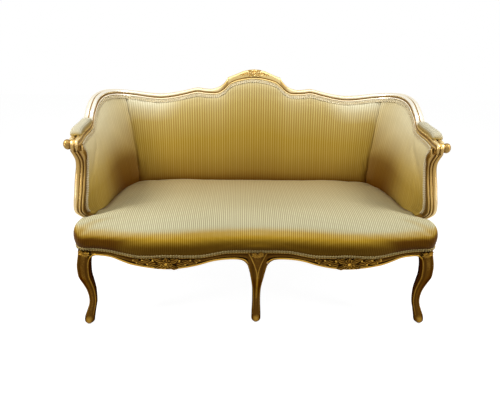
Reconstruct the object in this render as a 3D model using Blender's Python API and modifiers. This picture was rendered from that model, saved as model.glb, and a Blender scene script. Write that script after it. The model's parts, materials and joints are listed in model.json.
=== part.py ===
"""A giltwood settee with a tight serpentine seat, cabriole legs and a crested back.

The frame of the back, wings and arms is one bent wall. A place on it is a path share (0 at the middle of
the back, 1 at the right arm support, negative on the left), a height, and a depth towards the sitter. The
seat's front edge at the middle lies at Y = 0 while the pieces are made, and the whole settee is then
centred on the floor.
"""

import math

import bmesh
import bpy
from mathutils import Matrix, Vector

for leftover in list(bpy.data.objects):
    bpy.data.objects.remove(leftover, do_unlink=True)

# Overall sizes in metres
SEAT_WIDTH = 1.348  # over the cloth at the front corners
SEAT_DEPTH = 0.603  # from the front edge at the middle to the foot of the back frame
FOOT_HALF_WIDTH = 0.650  # middle of the side rails
HEAD_HALF_WIDTH = 0.708  # middle of the wing rails
SHOULDER_HEIGHT = 0.845  # top of the back rail beside the raised crest
CREST_RISE = 0.090
CREST_DEEPENING = 0.021  # how much taller the show wood is at the middle
ARM_HEIGHT = 0.729  # top of the arm rail at its front
BACK_RAKE = math.tan(math.radians(11.6))
SEAT_CROWN_HEIGHT = 0.454
SEAT_CROWN = 0.015  # how far the seat swells above its edge
SEAT_BUILD = 0.125  # from the foot of the seat rails to the crown

# Clearances
GAP = 0.0003  # between faces that touch
LAYER_GAP = 0.0005  # between bent layers
SHEET_GAP = 0.0008  # between a pad and the sheet behind it
SEAT_EASE = 0.0012  # between the seat pad and the pads around it
NOTCH_EASE = 0.003  # between the seat pad and the arm supports

# Seat frame
FRAME_BOTTOM = SEAT_CROWN_HEIGHT - SEAT_BUILD
SEAT_RAIL_HEIGHT = 0.065
RAIL_THICKNESS = 0.026
RAIL_TOP = FRAME_BOTTOM + SEAT_RAIL_HEIGHT
FRONT_BULGE = 0.034
FRONT_RAIL_THICKNESS = 0.030  # at the legs, where it is thinnest
APRON_DROP = 0.060
MOULDING_SWELL = 0.004
MOULDING_SETBACK = 0.001
MOULDING_ROUND = 0.008
CORNER_RADIUS = 0.036
STRETCHER_WIDTH = 0.040
STRETCHER_HEIGHT = 0.035
BRACE_LENGTH = 0.085
BRACE_WIDTH = 0.040
BRACE_THICKNESS = 0.035
SCREW_HEAD_RADIUS = 0.0045
SCREW_HEAD_HEIGHT = 0.002

# Legs
BLOCK_ROUNDING = 3.0  # exponent of the rounded square of a leg's block
SUPPORT_ROUNDING = 4.0  # and of an arm support
KNEE_WIDTH = 0.050
KNEE_REACH = 0.0195
CENTRE_BLOCK_WIDTH = 0.060
CENTRE_REACH = 0.028
POST_WIDTH = 0.040
REAR_SPLAY = 0.034
GLIDE_RADIUS = 0.009
GLIDE_HEIGHT = 0.004

# Show-wood rails of the back, wings and arms
RAIL_WIDTH = 0.040
ARM_WIDTH = 0.044
LIP_HEIGHT = 0.024  # the part of the rail above the cloth
TONGUE_HEIGHT = 0.018  # the part behind the cloth
TONGUE_WIDTH = 0.014
SUPPORT_WIDTH = 0.040
SUPPORT_DEPTH = 0.034
SWAY_OUT = 0.022
SWAY_FORWARD = 0.042
SCROLL_RADIUS = 0.0225
SCROLL_LENGTH = 0.050
SCROLL_REACH = 0.044
SCROLL_OFFSET = 0.012
SCROLL_ROUND = 0.008
STAY_HEIGHT = 0.040
STAY_THICKNESS = 0.018
STAY_LIFT = 0.030
SUPPORT_SETBACK = 0.005  # how far the covers and stays stop behind the arm support

# Upholstery
WEBBING_THICKNESS = 0.0012
WEBBING_WIDTH = 0.050
WEBBING_HOLD = 0.008  # how far a strip reaches past the middle of a rail
HESSIAN_THICKNESS = 0.0012
SKIRT_THICKNESS = 0.012
SKIRT_BULGE = 0.015
PAD_EDGE = 0.003
BACK_PAD_DEPTH = 0.047
WING_PAD_DEPTH = 0.022
COVER_THICKNESS = 0.003
ARM_PAD_HEIGHT = 0.022
GIMP_WIDTH = 0.013
GIMP_THICKNESS = 0.0018
DUST_COVER_THICKNESS = 0.001

# Carving
CREST_GARLAND_HALF = 0.112
APRON_GARLAND_HALF = 0.120
CARVING_DEPTH = 0.008

# Heights and depths that follow
SEAT_EDGE_HEIGHT = SEAT_CROWN_HEIGHT - SEAT_CROWN
DECK_HEIGHT = RAIL_TOP + 2 * (WEBBING_THICKNESS + GAP) + HESSIAN_THICKNESS + 2 * GAP
HALF_SEAT = SEAT_WIDTH / 2
HALF_RAIL = RAIL_THICKNESS / 2
HEAD_DEPTH = SEAT_DEPTH + (SHOULDER_HEIGHT - LIP_HEIGHT - FRAME_BOTTOM) * BACK_RAKE
HESSIAN_FACE = HALF_RAIL + LAYER_GAP + HESSIAN_THICKNESS
PAD_BACK = HESSIAN_FACE + SHEET_GAP
SKIRT_BACK = SKIRT_THICKNESS + LAYER_GAP
LEG_X = HALF_SEAT - CORNER_RADIUS
LEG_Y = CORNER_RADIUS
BLOCK_HALF = (CORNER_RADIUS - SKIRT_BACK) * 2 ** (1 / BLOCK_ROUNDING - 0.5) - GAP
FRONT_RAIL_BACK = SKIRT_BACK + FRONT_RAIL_THICKNESS
GIMP_BOTTOM = FRAME_BOTTOM + LAYER_GAP

# Path shares where the wall's pieces meet
REAR_POST_SHARE = 0.50
CREST_JOINT_SHARE = 0.43
ARM_JOINT_SHARE = 0.745
SWAY_START_SHARE = 0.80
ARM_PAD_SHARES = (0.785, 0.98)

# The wall's foot in plan: path share, share of FOOT_HALF_WIDTH, share of SEAT_DEPTH
FOOT_PLAN_SHARES = (
    (0.0, 0.0, 1.0),
    (0.27, 0.47, 1.0),
    (0.43, 0.74, 0.993),
    (0.53, 0.885, 0.94),
    (0.635, 0.962, 0.785),
    (0.735, 0.989, 0.61),
    (0.83, 1.002, 0.46),
    (1.0, 1.012, 0.308),
)
# The wall's head in plan: path share, share of HEAD_HALF_WIDTH, share of HEAD_DEPTH
HEAD_PLAN_SHARES = (
    (0.0, 0.0, 1.0),
    (0.27, 0.445, 1.0),
    (0.43, 0.712, 0.986),
    (0.53, 0.876, 0.918),
    (0.635, 0.980, 0.768),
    (0.735, 1.0, 0.598),
    (0.83, 0.982, 0.435),
    (0.925, 0.968, 0.278),
    (1.0, 0.945, 0.158),
)
# Top of the rail: path share, share of the way from the arm up to the shoulder
HEAD_HEIGHT_SHARES = (
    (0.0, 1.0),
    (0.165, 0.965),
    (0.205, 0.985),
    (0.237, 1.02),
    (0.287, 0.91),
    (0.33, 0.82),
    (0.38, 0.76),
    (0.43, 0.79),
    (0.50, 0.91),
    (0.57, 0.995),
    (0.62, 0.98),
    (0.68, 0.80),
    (0.73, 0.48),
    (0.77, 0.17),
    (0.82, 0.06),
    (0.91, 0.02),
    (1.0, 0.0),
)
# The raised crest: path share, share of CREST_RISE
CREST_SHARES = (
    (0.0, 1.0),
    (0.02, 0.985),
    (0.045, 0.91),
    (0.078, 0.76),
    (0.098, 0.60),
    (0.128, 0.18),
    (0.16, 0.0),
    (1.0, 0.0),
)
# The arm support's curve: share of its height, share of SWAY_OUT, share of SWAY_FORWARD
SWAY_SHARES = (
    (0.0, 0.0, 0.0),
    (0.08, 0.80, 0.45),
    (0.16, 1.0, 0.83),
    (0.30, 0.60, 1.0),
    (0.42, 0.26, 0.80),
    (0.53, 0.10, 0.48),
    (0.64, 0.0, 0.12),
    (0.77, -0.28, -0.05),
    (0.90, -0.42, -0.02),
    (1.0, -0.24, 0.07),
)
# The apron's lower edge: share of LEG_X, share of APRON_DROP
APRON_SHARES = (
    (0.0, 1.16),
    (0.05, 1.10),
    (0.071, 0.90),
    (0.095, 0.76),
    (0.16, 0.69),
    (0.25, 0.70),
    (0.35, 0.85),
    (0.43, 0.94),
    (0.52, 1.0),
    (0.62, 0.94),
    (0.70, 0.84),
    (0.78, 0.61),
    (0.87, 0.46),
    (1.0, 0.43),
)
# Corner legs: share of FRAME_BOTTOM, share of KNEE_REACH, share of KNEE_WIDTH
CORNER_LEG_SHARES = (
    (0.999, 0.41, 1.0),
    (0.925, 0.62, 1.0),
    (0.806, 0.97, 0.98),
    (0.730, 1.03, 0.96),
    (0.657, 1.0, 0.92),
    (0.558, 0.66, 0.76),
    (0.448, 0.36, 0.61),
    (0.337, 0.30, 0.53),
    (0.254, 0.48, 0.54),
    (0.167, 0.93, 0.63),
    (0.09, 1.30, 0.73),
    (0.03, 1.42, 0.68),
    (0.0, 1.38, 0.52),
)
# Centre leg: share of FRAME_BOTTOM, share of CENTRE_REACH, share of CENTRE_BLOCK_WIDTH, share of KNEE_WIDTH
CENTRE_LEG_SHARES = (
    (0.999, 0.36, 1.0, 1.08),
    (0.90, 0.57, 1.0, 1.04),
    (0.806, 0.71, 0.97, 0.96),
    (0.746, 0.82, 0.90, 0.94),
    (0.657, 0.88, 0.72, 0.88),
    (0.558, 0.54, 0.60, 0.76),
    (0.448, 0.14, 0.54, 0.62),
    (0.337, -0.07, 0.52, 0.54),
    (0.254, 0.0, 0.52, 0.54),
    (0.167, 0.26, 0.57, 0.64),
    (0.09, 0.50, 0.60, 0.74),
    (0.03, 0.58, 0.57, 0.68),
    (0.0, 0.56, 0.43, 0.52),
)
# Rear legs below the seat rail: share of FRAME_BOTTOM, share of REAR_SPLAY, share of the post's section
REAR_LEG_SHARES = (
    (1.0, 0.0, 1.0),
    (0.70, 0.12, 0.96),
    (0.40, 0.42, 0.84),
    (0.15, 0.80, 0.74),
    (0.0, 1.0, 0.68),
)
# Pad depth up the back and up the wings: share of the height, share of the pad's full depth
BACK_PAD_SHARES = (
    (0.0, 0.82),
    (0.10, 1.0),
    (0.28, 0.80),
    (0.48, 0.47),
    (0.75, 0.28),
    (0.93, 0.18),
    (1.0, 0.0),
)
WING_PAD_SHARES = (
    (0.0, 0.85),
    (0.12, 1.0),
    (0.30, 0.95),
    (0.50, 0.80),
    (0.75, 0.62),
    (0.93, 0.42),
    (1.0, 0.0),
)
# Stations up a pad
PAD_LEVEL_SHARES = (0.0, 0.10, 0.22, 0.36, 0.50, 0.66, 0.82, 0.94, 1.0)
COVER_LEVEL_SHARES = (0.0, 0.17, 0.30, 0.45, 0.60, 0.80, 1.0)
SHEET_LEVEL_SHARES = (0.0, 0.22, 0.50, 1.0)
PAD_SEAM_SHARE = 0.030  # how far along the path a pad's face is drawn in beside a seam
SEAM_DEPTH_SHARE = 0.72  # depth left at the seam itself
PAD_FLARE_SHARE = 0.30  # height over which a wing pad widens to its arm support
# Seat pad skirt: share of the height from the braid up to the edge, share of SKIRT_BULGE
SKIRT_SHARES = (
    (0.0, 0.0),
    (0.20, 0.62),
    (0.42, 0.97),
    (0.62, 1.0),
    (0.82, 0.58),
    (0.94, 0.14),
)
# Seat pad rings above its skirt: share towards the middle, share of the crown
SEAT_RING_SHARES = (
    (0.012, 0.10),
    (0.060, 0.42),
    (0.20, 0.80),
    (0.50, 0.97),
    (0.82, 1.0),
)
ARM_PAD_SECTION_SHARES = (
    (-1.0, 0.0),
    (-1.0, 0.35),
    (-0.72, 0.80),
    (0.0, 1.0),
    (0.72, 0.80),
    (1.0, 0.35),
    (1.0, 0.0),
)
ARM_PAD_END_HEIGHT_SHARE = 0.35
ARM_PAD_END_WIDTH_SHARE = 0.80
RAIL_LIP_SHARES = (
    (-1.0, 0.0),
    (-1.0, 0.72),
    (-0.66, 1.0),
    (0.0, 1.0),
    (0.66, 1.0),
    (1.0, 0.72),
    (1.0, 0.0),
)
WEBBING_ACROSS_SHARES = (0.67, 0.75, 0.83)
WEBBING_ALONG_SHARES = (0.15, 0.32, 0.49, 0.66)
# Leaf sprays: share of the spray's length, share of the flower's half height
GARLAND_SHARES = (
    (0.0, 1.0),
    (0.09, 0.97),
    (0.16, 0.70),
    (0.20, 0.42),
    (0.27, 0.60),
    (0.36, 0.55),
    (0.44, 0.30),
    (0.52, 0.45),
    (0.62, 0.38),
    (0.70, 0.20),
    (0.78, 0.28),
    (0.90, 0.16),
    (1.0, 0.04),
)
GARLAND_SECTION_SHARES = ((-1.0, 0.0), (-0.8, 0.6), (-0.3, 1.0), (0.3, 1.0), (0.8, 0.6), (1.0, 0.0))
CREST_FLOWER_SHARE = 0.75
APRON_FLOWER_SHARE = 0.90

# Stations along the wall and the front
FINE_STEP_SHARE = 0.02
COARSE_STEP_SHARE = 0.04
FINE_ZONE_SHARES = ((0.0, 0.18), (0.40, 0.66))
FRONT_STATIONS = 16
CORNER_STATIONS = 5
LEG_SIDES = 12
SHARP_ANGLE = math.radians(40)

MATERIALS = {
    "gilt": ((0.62, 0.40, 0.13), 0.34, 0.85),
    "stripe_cloth": ((0.52, 0.43, 0.24), 0.55, 0.0),
    "braid": ((0.78, 0.70, 0.50), 0.65, 0.0),
    "beech": ((0.55, 0.38, 0.22), 0.6, 0.0),
    "jute": ((0.48, 0.37, 0.22), 0.9, 0.0),
    "cambric": ((0.05, 0.05, 0.05), 0.9, 0.0),
    "steel": ((0.60, 0.60, 0.60), 0.35, 1.0),
}

PARTS = bpy.data.collections.new("giltwood_settee")
CUTTERS = bpy.data.collections.new("cutters")
SETTEE = bpy.data.objects.new("settee_origin", None)


# Scene and materials
def link_collections():
    """Puts the settee's own collections and its empty in the scene."""
    for collection in (PARTS, CUTTERS):
        bpy.context.scene.collection.children.link(collection)
    CUTTERS.hide_render = True
    PARTS.objects.link(SETTEE)


def material(kind):
    """The Principled material of a kind of stuff, made once."""
    found = bpy.data.materials.get(kind)
    if found:
        return found
    colour, roughness, metallic = MATERIALS[kind]
    made = bpy.data.materials.new(kind)
    made.use_nodes = True
    shader = made.node_tree.nodes["Principled BSDF"]
    shader.inputs["Base Color"].default_value = (*colour, 1.0)
    shader.inputs["Roughness"].default_value = roughness
    shader.inputs["Metallic"].default_value = metallic
    made.diffuse_color = (*colour, 1.0)
    return made


def add_part(name, mesh, kind):
    """Puts a closed mesh in the scene as a named part."""
    mesh.materials.append(material(kind))
    part = bpy.data.objects.new(name, mesh)
    part.parent = SETTEE
    PARTS.objects.link(part)
    return part


def finish_mesh(name, bm, smooth=True):
    """Turns a bmesh into a closed mesh with its faces out."""
    bmesh.ops.remove_doubles(bm, verts=bm.verts, dist=GAP / 10)
    bmesh.ops.recalc_face_normals(bm, faces=bm.faces)
    mesh = bpy.data.meshes.new(name)
    bm.to_mesh(mesh)
    bm.free()
    if smooth:
        mesh.shade_smooth()
        mesh.set_sharp_from_angle(angle=SHARP_ANGLE)
    return mesh


# Solid makers
def lofted(bm, rings):
    """Adds a closed body that runs through rings of as many points each, with flat ends."""
    loops = [[bm.verts.new(point) for point in ring] for ring in rings]
    for near, far in zip(loops, loops[1:]):
        for i in range(len(near)):
            j = (i + 1) % len(near)
            bm.faces.new((near[i], near[j], far[j], far[i]))
    bm.faces.new(loops[0])
    bm.faces.new(list(reversed(loops[-1])))


def loft(name, rings, kind):
    """A part that runs through rings of points."""
    bm = bmesh.new()
    lofted(bm, rings)
    return add_part(name, finish_mesh(name, bm), kind)


def slab_mesh(name, front, back):
    """A closed sheet between two grids of as many points."""
    bm = bmesh.new()
    add_slab(bm, front, back)
    return finish_mesh(name, bm)


def add_slab(bm, front, back):
    """Adds a closed sheet between two grids to a bmesh."""
    sides = [[[bm.verts.new(point) for point in row] for row in grid] for grid in (front, back)]
    rows, columns = len(front), len(front[0])
    for grid in sides:
        for i in range(rows - 1):
            for j in range(columns - 1):
                bm.faces.new((grid[i][j], grid[i][j + 1], grid[i + 1][j + 1], grid[i + 1][j]))
    near, far = sides
    rim = [(0, j) for j in range(columns)] + [(i, columns - 1) for i in range(1, rows)]
    rim += [(rows - 1, j) for j in range(columns - 2, -1, -1)] + [(i, 0) for i in range(rows - 2, 0, -1)]
    for (i, j), (k, m) in zip(rim, rim[1:] + rim[:1]):
        bm.faces.new((near[i][j], far[i][j], far[k][m], near[k][m]))


def plate(name, outline, bottom, thickness, kind):
    """A flat plate of a plan outline, from a filled 2D curve."""
    curve = bpy.data.curves.new(name, "CURVE")
    curve.dimensions = "2D"
    curve.fill_mode = "BOTH"
    curve.extrude = thickness / 2
    spline = curve.splines.new("POLY")
    spline.points.add(len(outline) - 1)
    for point, (x, y) in zip(spline.points, outline):
        point.co = (x, y, 0.0, 1.0)
    spline.use_cyclic_u = True
    part = add_part(name, curve, kind)
    part.location.z = bottom + thickness / 2
    return part


def mirrored(part, name):
    """A part's mirror image on the other side of the settee."""
    mesh = part.data.copy()
    mesh.transform(Matrix.Diagonal((-1.0, 1.0, 1.0, 1.0)))
    if part.type == "MESH":
        mesh.flip_normals()
    mesh.name = name
    copy = bpy.data.objects.new(name, mesh)
    copy.location = (-part.location.x, part.location.y, part.location.z)
    copy.parent = SETTEE
    PARTS.objects.link(copy)
    return copy


def both_sides(part, base):
    """Names a right-hand part and adds its left-hand twin."""
    part.name = f"right_{base}"
    return mirrored(part, f"left_{base}")


# Curves
def smooth(table, key):
    """A table's values at a key, on a smooth curve through its rows."""
    i = max(k for k in range(len(table) - 1) if table[k][0] <= key or k == 0)
    span = table[i + 1][0] - table[i][0]
    t = (key - table[i][0]) / span

    def slope(k, column):
        low, high = max(k - 1, 0), min(k + 1, len(table) - 1)
        return (table[high][column] - table[low][column]) / (table[high][0] - table[low][0])

    values = []
    for column in range(1, len(table[0])):
        start, end = table[i][column], table[i + 1][column]
        leave, arrive = slope(i, column) * span, slope(i + 1, column) * span
        values.append(
            (2 * t**3 - 3 * t**2 + 1) * start
            + (t**3 - 2 * t**2 + t) * leave
            + (3 * t**2 - 2 * t**3) * end
            + (t**3 - t**2) * arrive
        )
    return values


def ease(t):
    """A smooth step from 0 to 1."""
    t = min(max(t, 0.0), 1.0)
    return t * t * (3 - 2 * t)


def crest_share(path):
    """How much of the crest's rise a path share has."""
    return smooth(CREST_SHARES, abs(path))[0]


def head_top(path):
    """Height of the rail's top along the path."""
    (share,) = smooth(HEAD_HEIGHT_SHARES, abs(path))
    return ARM_HEIGHT + (SHOULDER_HEIGHT - ARM_HEIGHT) * share + CREST_RISE * crest_share(path)


def lip_height(path):
    """Height of the show wood above the cloth, deeper under the crest."""
    return LIP_HEIGHT + CREST_DEEPENING * crest_share(path) ** 2


def head_under(path):
    """Height of the underside of the rail's lip, where the cloth ends."""
    return head_top(path) - lip_height(path)


def wall(path, height):
    """A point on the middle surface of the back, wing and arm frame."""
    side = abs(path)
    foot_x, foot_y = smooth(FOOT_PLAN_SHARES, side)
    head_x, head_y = smooth(HEAD_PLAN_SHARES, side)
    under = head_under(side)
    rise = (height - FRAME_BOTTOM) / (under - FRAME_BOTTOM)
    lean = BACK_RAKE * CREST_RISE * crest_share(side)
    x = FOOT_HALF_WIDTH * foot_x + (HEAD_HALF_WIDTH * head_x - FOOT_HALF_WIDTH * foot_x) * rise
    y = SEAT_DEPTH * foot_y + (HEAD_DEPTH * head_y + lean - SEAT_DEPTH * foot_y) * rise
    grip = ease((side - SWAY_START_SHARE) / (1 - SWAY_START_SHARE))
    if grip and height > RAIL_TOP:
        out, forward = smooth(SWAY_SHARES, (height - RAIL_TOP) / (under - RAIL_TOP))
        x += grip * SWAY_OUT * out
        y -= grip * SWAY_FORWARD * forward
    return Vector((math.copysign(x, path), y, height))


def path_unit(path, height):
    """Length of wall for one whole path share, at a place."""
    step = COARSE_STEP_SHARE / 10
    before, after = min(path, 1 - step) - step, min(path, 1 - step) + step
    return (wall(after, height) - wall(before, height)).length / (after - before)


def inward(path, height):
    """The level direction towards the sitter."""
    step = COARSE_STEP_SHARE / 10
    low, high = max(path - step, -1.0), min(path + step, 1.0)
    along = wall(high, height) - wall(low, height)
    return Vector((along.y, -along.x, 0.0)).normalized()


def at(path, height, depth):
    """A point of the wall moved towards the sitter."""
    return wall(path, height) + inward(path, height) * depth


def stations(start, end):
    """Path shares from start to end, closer where the wall bends or the crest rises, and at the posts."""
    low, high = min(start, end), max(start, end)
    steps = round(2 / FINE_STEP_SHARE)
    every = round(COARSE_STEP_SHARE / FINE_STEP_SHARE)
    edges = [edge for middle in (-REAR_POST_SHARE, 0.0, REAR_POST_SHARE) for edge in post_span(middle)]
    edges += [side * share for side in (-1, 1) for share in ARM_PAD_SHARES]
    inner = list(edges)
    for k in range(-steps // 2, steps // 2 + 1):
        share = k * FINE_STEP_SHARE
        fine = any(a <= abs(share) <= b for a, b in FINE_ZONE_SHARES)
        clear_of_edges = min(abs(share - edge) for edge in edges) > FINE_STEP_SHARE / 4
        if (fine or k % every == 0) and clear_of_edges:
            inner.append(share)
    margin = FINE_STEP_SHARE / 10
    return [low, *sorted(share for share in inner if low + margin < share < high - margin), high]


def front_edge(x):
    """Depth of the cloth's front edge, which swells twice."""
    return -FRONT_BULGE * math.sin(math.pi * x / HALF_SEAT) ** 2


def front_stations():
    """Places along half of the front edge, from the middle to the corner leg."""
    return [LEG_X * k / FRONT_STATIONS for k in range(FRONT_STATIONS + 1)]


def apron_bottom(x):
    """Height of the apron's lower edge."""
    return FRAME_BOTTOM - APRON_DROP * smooth(APRON_SHARES, abs(x) / LEG_X)[0]


# Pieces of the wall
def wall_slab(name, start, end, bottom, top, inner, outer, kind, levels=(0.0, 1.0)):
    """A piece of the wall between two path shares, two heights and two depths, each a value or a function."""

    def grid(depth):
        rows = []
        for level in levels:
            row = []
            for path in stations(start, end):
                low = bottom(path) if callable(bottom) else bottom
                high = top(path) if callable(top) else top
                reach = depth(path, level) if callable(depth) else depth
                row.append(at(path, low + (high - low) * level, reach))
            rows.append(row)
        return rows

    return add_part(name, slab_mesh(name, grid(inner), grid(outer)), kind)


def pad_depth(path, level):
    """Depth of the pads' face, from the wall's middle, at a share of their height."""
    side = abs(path)
    (back,) = smooth(BACK_PAD_SHARES, level)
    (wing,) = smooth(WING_PAD_SHARES, level)
    turn = ease((side - REAR_POST_SHARE + PAD_SEAM_SHARE) / (4 * PAD_SEAM_SHARE))
    depth = BACK_PAD_DEPTH * back * (1 - turn) + WING_PAD_DEPTH * wing * turn
    seam = abs(side - REAR_POST_SHARE) / PAD_SEAM_SHARE
    depth *= SEAM_DEPTH_SHARE + (1 - SEAM_DEPTH_SHARE) * ease(seam)
    front = ease((side - SWAY_START_SHARE) / (1 - SWAY_START_SHARE))
    depth += (SUPPORT_WIDTH / 2 - PAD_BACK - PAD_EDGE - depth) * front * ease(level / PAD_FLARE_SHARE)
    return PAD_BACK + PAD_EDGE + max(depth, 0.0)


def cloth_top(path):
    """Height where the pads and covers end, just under the lip."""
    return head_under(path) - GAP


def make_pads():
    """The inside back and the two inside wings, with the sheets that they are built on."""
    bottom = DECK_HEIGHT + GAP
    half_seam = GAP / 2
    pieces = (
        ("back", -REAR_POST_SHARE + half_seam, REAR_POST_SHARE - half_seam),
        ("right_wing", REAR_POST_SHARE + half_seam, 1.0),
        ("left_wing", -1.0, -REAR_POST_SHARE - half_seam),
    )
    for name, start, end in pieces:
        low, high = max(start, -SWAY_START_SHARE), min(end, SWAY_START_SHARE)
        back_face = HALF_RAIL + LAYER_GAP
        levels = SHEET_LEVEL_SHARES
        wall_slab(f"{name}_hessian", low, high, bottom, cloth_top, HESSIAN_FACE, back_face, "jute", levels)
        levels = PAD_LEVEL_SHARES
        wall_slab(f"{name}_pad", start, end, bottom, cloth_top, pad_depth, PAD_BACK, "stripe_cloth", levels)


def make_outside_covers():
    """The cloth-covered panels on the outside of the back and arms."""
    face = -(HALF_RAIL + SHEET_GAP)
    skin = face - COVER_THICKNESS
    stop = 1.0 - SUPPORT_SETBACK / path_unit(1.0, RAIL_TOP)
    half_seam = GAP / 2
    post = REAR_POST_SHARE - half_seam
    clear = REAR_POST_SHARE + half_seam
    for name, start, end, levels in (
        ("outside_back_cover", -post, post, SHEET_LEVEL_SHARES),
        ("right_outside_cover", clear, stop, COVER_LEVEL_SHARES),
        ("left_outside_cover", -stop, -clear, COVER_LEVEL_SHARES),
    ):
        wall_slab(name, start, end, GIMP_BOTTOM, cloth_top, face, skin, "stripe_cloth", levels)


def make_wall_gimp():
    """The braid along the top of the pads and down behind the arm supports."""
    for name, start, end in (
        ("back_gimp", -REAR_POST_SHARE + GAP, REAR_POST_SHARE - GAP),
        ("right_wing_gimp", REAR_POST_SHARE + GAP, 1.0),
        ("left_wing_gimp", -1.0, -REAR_POST_SHARE - GAP),
    ):

        def level_of(path, level):
            height = cloth_top(path) - GIMP_WIDTH * (1 - level)
            return (height - DECK_HEIGHT) / (cloth_top(path) - DECK_HEIGHT)

        def under(path, level):
            return pad_depth(path, level_of(path, level)) + LAYER_GAP

        def over(path, level):
            return under(path, level) + GIMP_THICKNESS

        wall_slab(name, start, end, lambda p: cloth_top(p) - GIMP_WIDTH, cloth_top, over, under, "braid")


# Frame
def bent_rail(start, end, bottom, top, thickness):
    """A frame member that follows the wall."""
    return wall_slab("rail", start, end, bottom, top, thickness / 2, -thickness / 2, "beech")


def post_span(middle):
    """Path shares of the two sides of a post."""
    half = POST_WIDTH / 2 / path_unit(middle, RAIL_TOP)
    return middle - half, middle + half


def rear_leg(name, middle):
    """A rear leg and the post above it, in one piece."""
    low, high = post_span(middle)
    paths = (low, middle, high)

    def ring(height_of):
        near = [at(path, height_of(path), HALF_RAIL) for path in paths]
        far = [at(path, height_of(path), -HALF_RAIL) for path in reversed(paths)]
        return near + far

    foot = ring(lambda path: FRAME_BOTTOM)
    centre = sum(foot, Vector()) / len(foot)
    outward = -inward(middle, FRAME_BOTTOM)
    rings = []
    for height_share, splay_share, size_share in reversed(REAR_LEG_SHARES):
        height = max(FRAME_BOTTOM * height_share, GLIDE_HEIGHT + GAP)
        shift = outward * REAR_SPLAY * splay_share + Vector((0.0, 0.0, height - FRAME_BOTTOM))
        rings.append([centre + shift + (point - centre) * size_share for point in foot])
    rings.append(ring(lambda path: RAIL_TOP))
    for level in PAD_LEVEL_SHARES[:-1:2]:
        rings.append(ring(lambda path: DECK_HEIGHT + GAP + (cloth_top(path) - DECK_HEIGHT - GAP) * level))
    top = min(head_under(path) for path in paths) - TONGUE_HEIGHT - GAP
    rings.append(ring(lambda path: top))
    part = loft(name, rings, "beech")
    glide = centre + outward * REAR_SPLAY
    return part, (glide.x, glide.y)


def rounded_unit(exponent):
    """Points of a unit outline between a circle and a square."""
    points = []
    for k in range(LEG_SIDES):
        angle = 2 * math.pi * (k + 0.5) / LEG_SIDES
        c, s = math.cos(angle), math.sin(angle)
        reach = (abs(c) ** exponent + abs(s) ** exponent) ** (-1 / exponent)
        points.append((reach * c, reach * s))
    return points


def rounded_square(centre, half_x, half_y, height, exponent):
    """A ring in plan between an ellipse and a rectangle."""
    x, y = centre
    return [Vector((x + half_x * u, y + half_y * v, height)) for u, v in rounded_unit(exponent)]


def corner_leg():
    """A cabriole leg: its block, its knee turned to the corner, its ankle and its foot."""
    ends = (RAIL_TOP, GIMP_BOTTOM)
    rings = [rounded_square((LEG_X, LEG_Y), BLOCK_HALF, BLOCK_HALF, z, BLOCK_ROUNDING) for z in ends]
    for height_share, reach_share, width_share in CORNER_LEG_SHARES:
        reach = KNEE_REACH * reach_share
        half = KNEE_WIDTH * width_share / 2
        height = max(FRAME_BOTTOM * height_share, GLIDE_HEIGHT + GAP)
        exponent = 2.0 + (BLOCK_ROUNDING - 2.0) * ease(height_share)
        rings.append(rounded_square((LEG_X + reach, LEG_Y - reach), half, half, height, exponent))
    foot = KNEE_REACH * CORNER_LEG_SHARES[-1][1]
    return loft("leg", rings, "gilt"), (LEG_X + foot, LEG_Y - foot)


def centre_leg():
    """The middle cabriole leg, whose knee faces forward."""
    half_x = CENTRE_BLOCK_WIDTH / 2
    ends = (RAIL_TOP, GIMP_BOTTOM)
    rings = [rounded_square((0.0, LEG_Y), half_x, BLOCK_HALF, z, 2 * BLOCK_ROUNDING) for z in ends]
    for height_share, reach_share, width_share, depth_share in CENTRE_LEG_SHARES:
        height = max(FRAME_BOTTOM * height_share, GLIDE_HEIGHT + GAP)
        exponent = 2.0 + (2 * BLOCK_ROUNDING - 2.0) * ease(height_share) ** 2
        middle = (0.0, LEG_Y - CENTRE_REACH * reach_share)
        half_y = KNEE_WIDTH * depth_share / 2
        rings.append(rounded_square(middle, half_x * width_share, half_y, height, exponent))
    foot = CENTRE_REACH * CENTRE_LEG_SHARES[-1][1]
    return loft("front_centre_leg", rings, "gilt"), (0.0, LEG_Y - foot)


def front_rail():
    """Half of the serpentine front rail, with its moulded lower edge showing below the cloth."""
    start = CENTRE_BLOCK_WIDTH / 2 + GAP
    end = LEG_X - BLOCK_HALF - GAP
    rings = []
    for x in [start, *(x for x in front_stations() if start + GAP < x < end - GAP), end]:
        edge = front_edge(x)
        face = edge + SKIRT_BACK
        low = apron_bottom(x)
        profile = (
            (FRONT_RAIL_BACK, RAIL_TOP),
            (face, RAIL_TOP),
            (face, FRAME_BOTTOM),
            (edge + MOULDING_SETBACK, FRAME_BOTTOM),
            (edge - MOULDING_SWELL, (FRAME_BOTTOM + low) / 2),
            (edge + MOULDING_SETBACK, low + MOULDING_ROUND / 2),
            (edge + MOULDING_ROUND, low),
            (FRONT_RAIL_BACK - MOULDING_ROUND, low),
            (FRONT_RAIL_BACK, low + MOULDING_ROUND),
        )
        rings.append([Vector((x, y, z)) for y, z in profile])
    return loft("front_rail", rings, "gilt")


def side_rail_line(share):
    """Middle of the side rail, from the arm support (0) to the front leg (1)."""
    rear = wall(1.0, FRAME_BOTTOM)
    front = Vector((LEG_X, LEG_Y + BLOCK_HALF + GAP, FRAME_BOTTOM))
    return rear.lerp(front, share)


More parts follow.
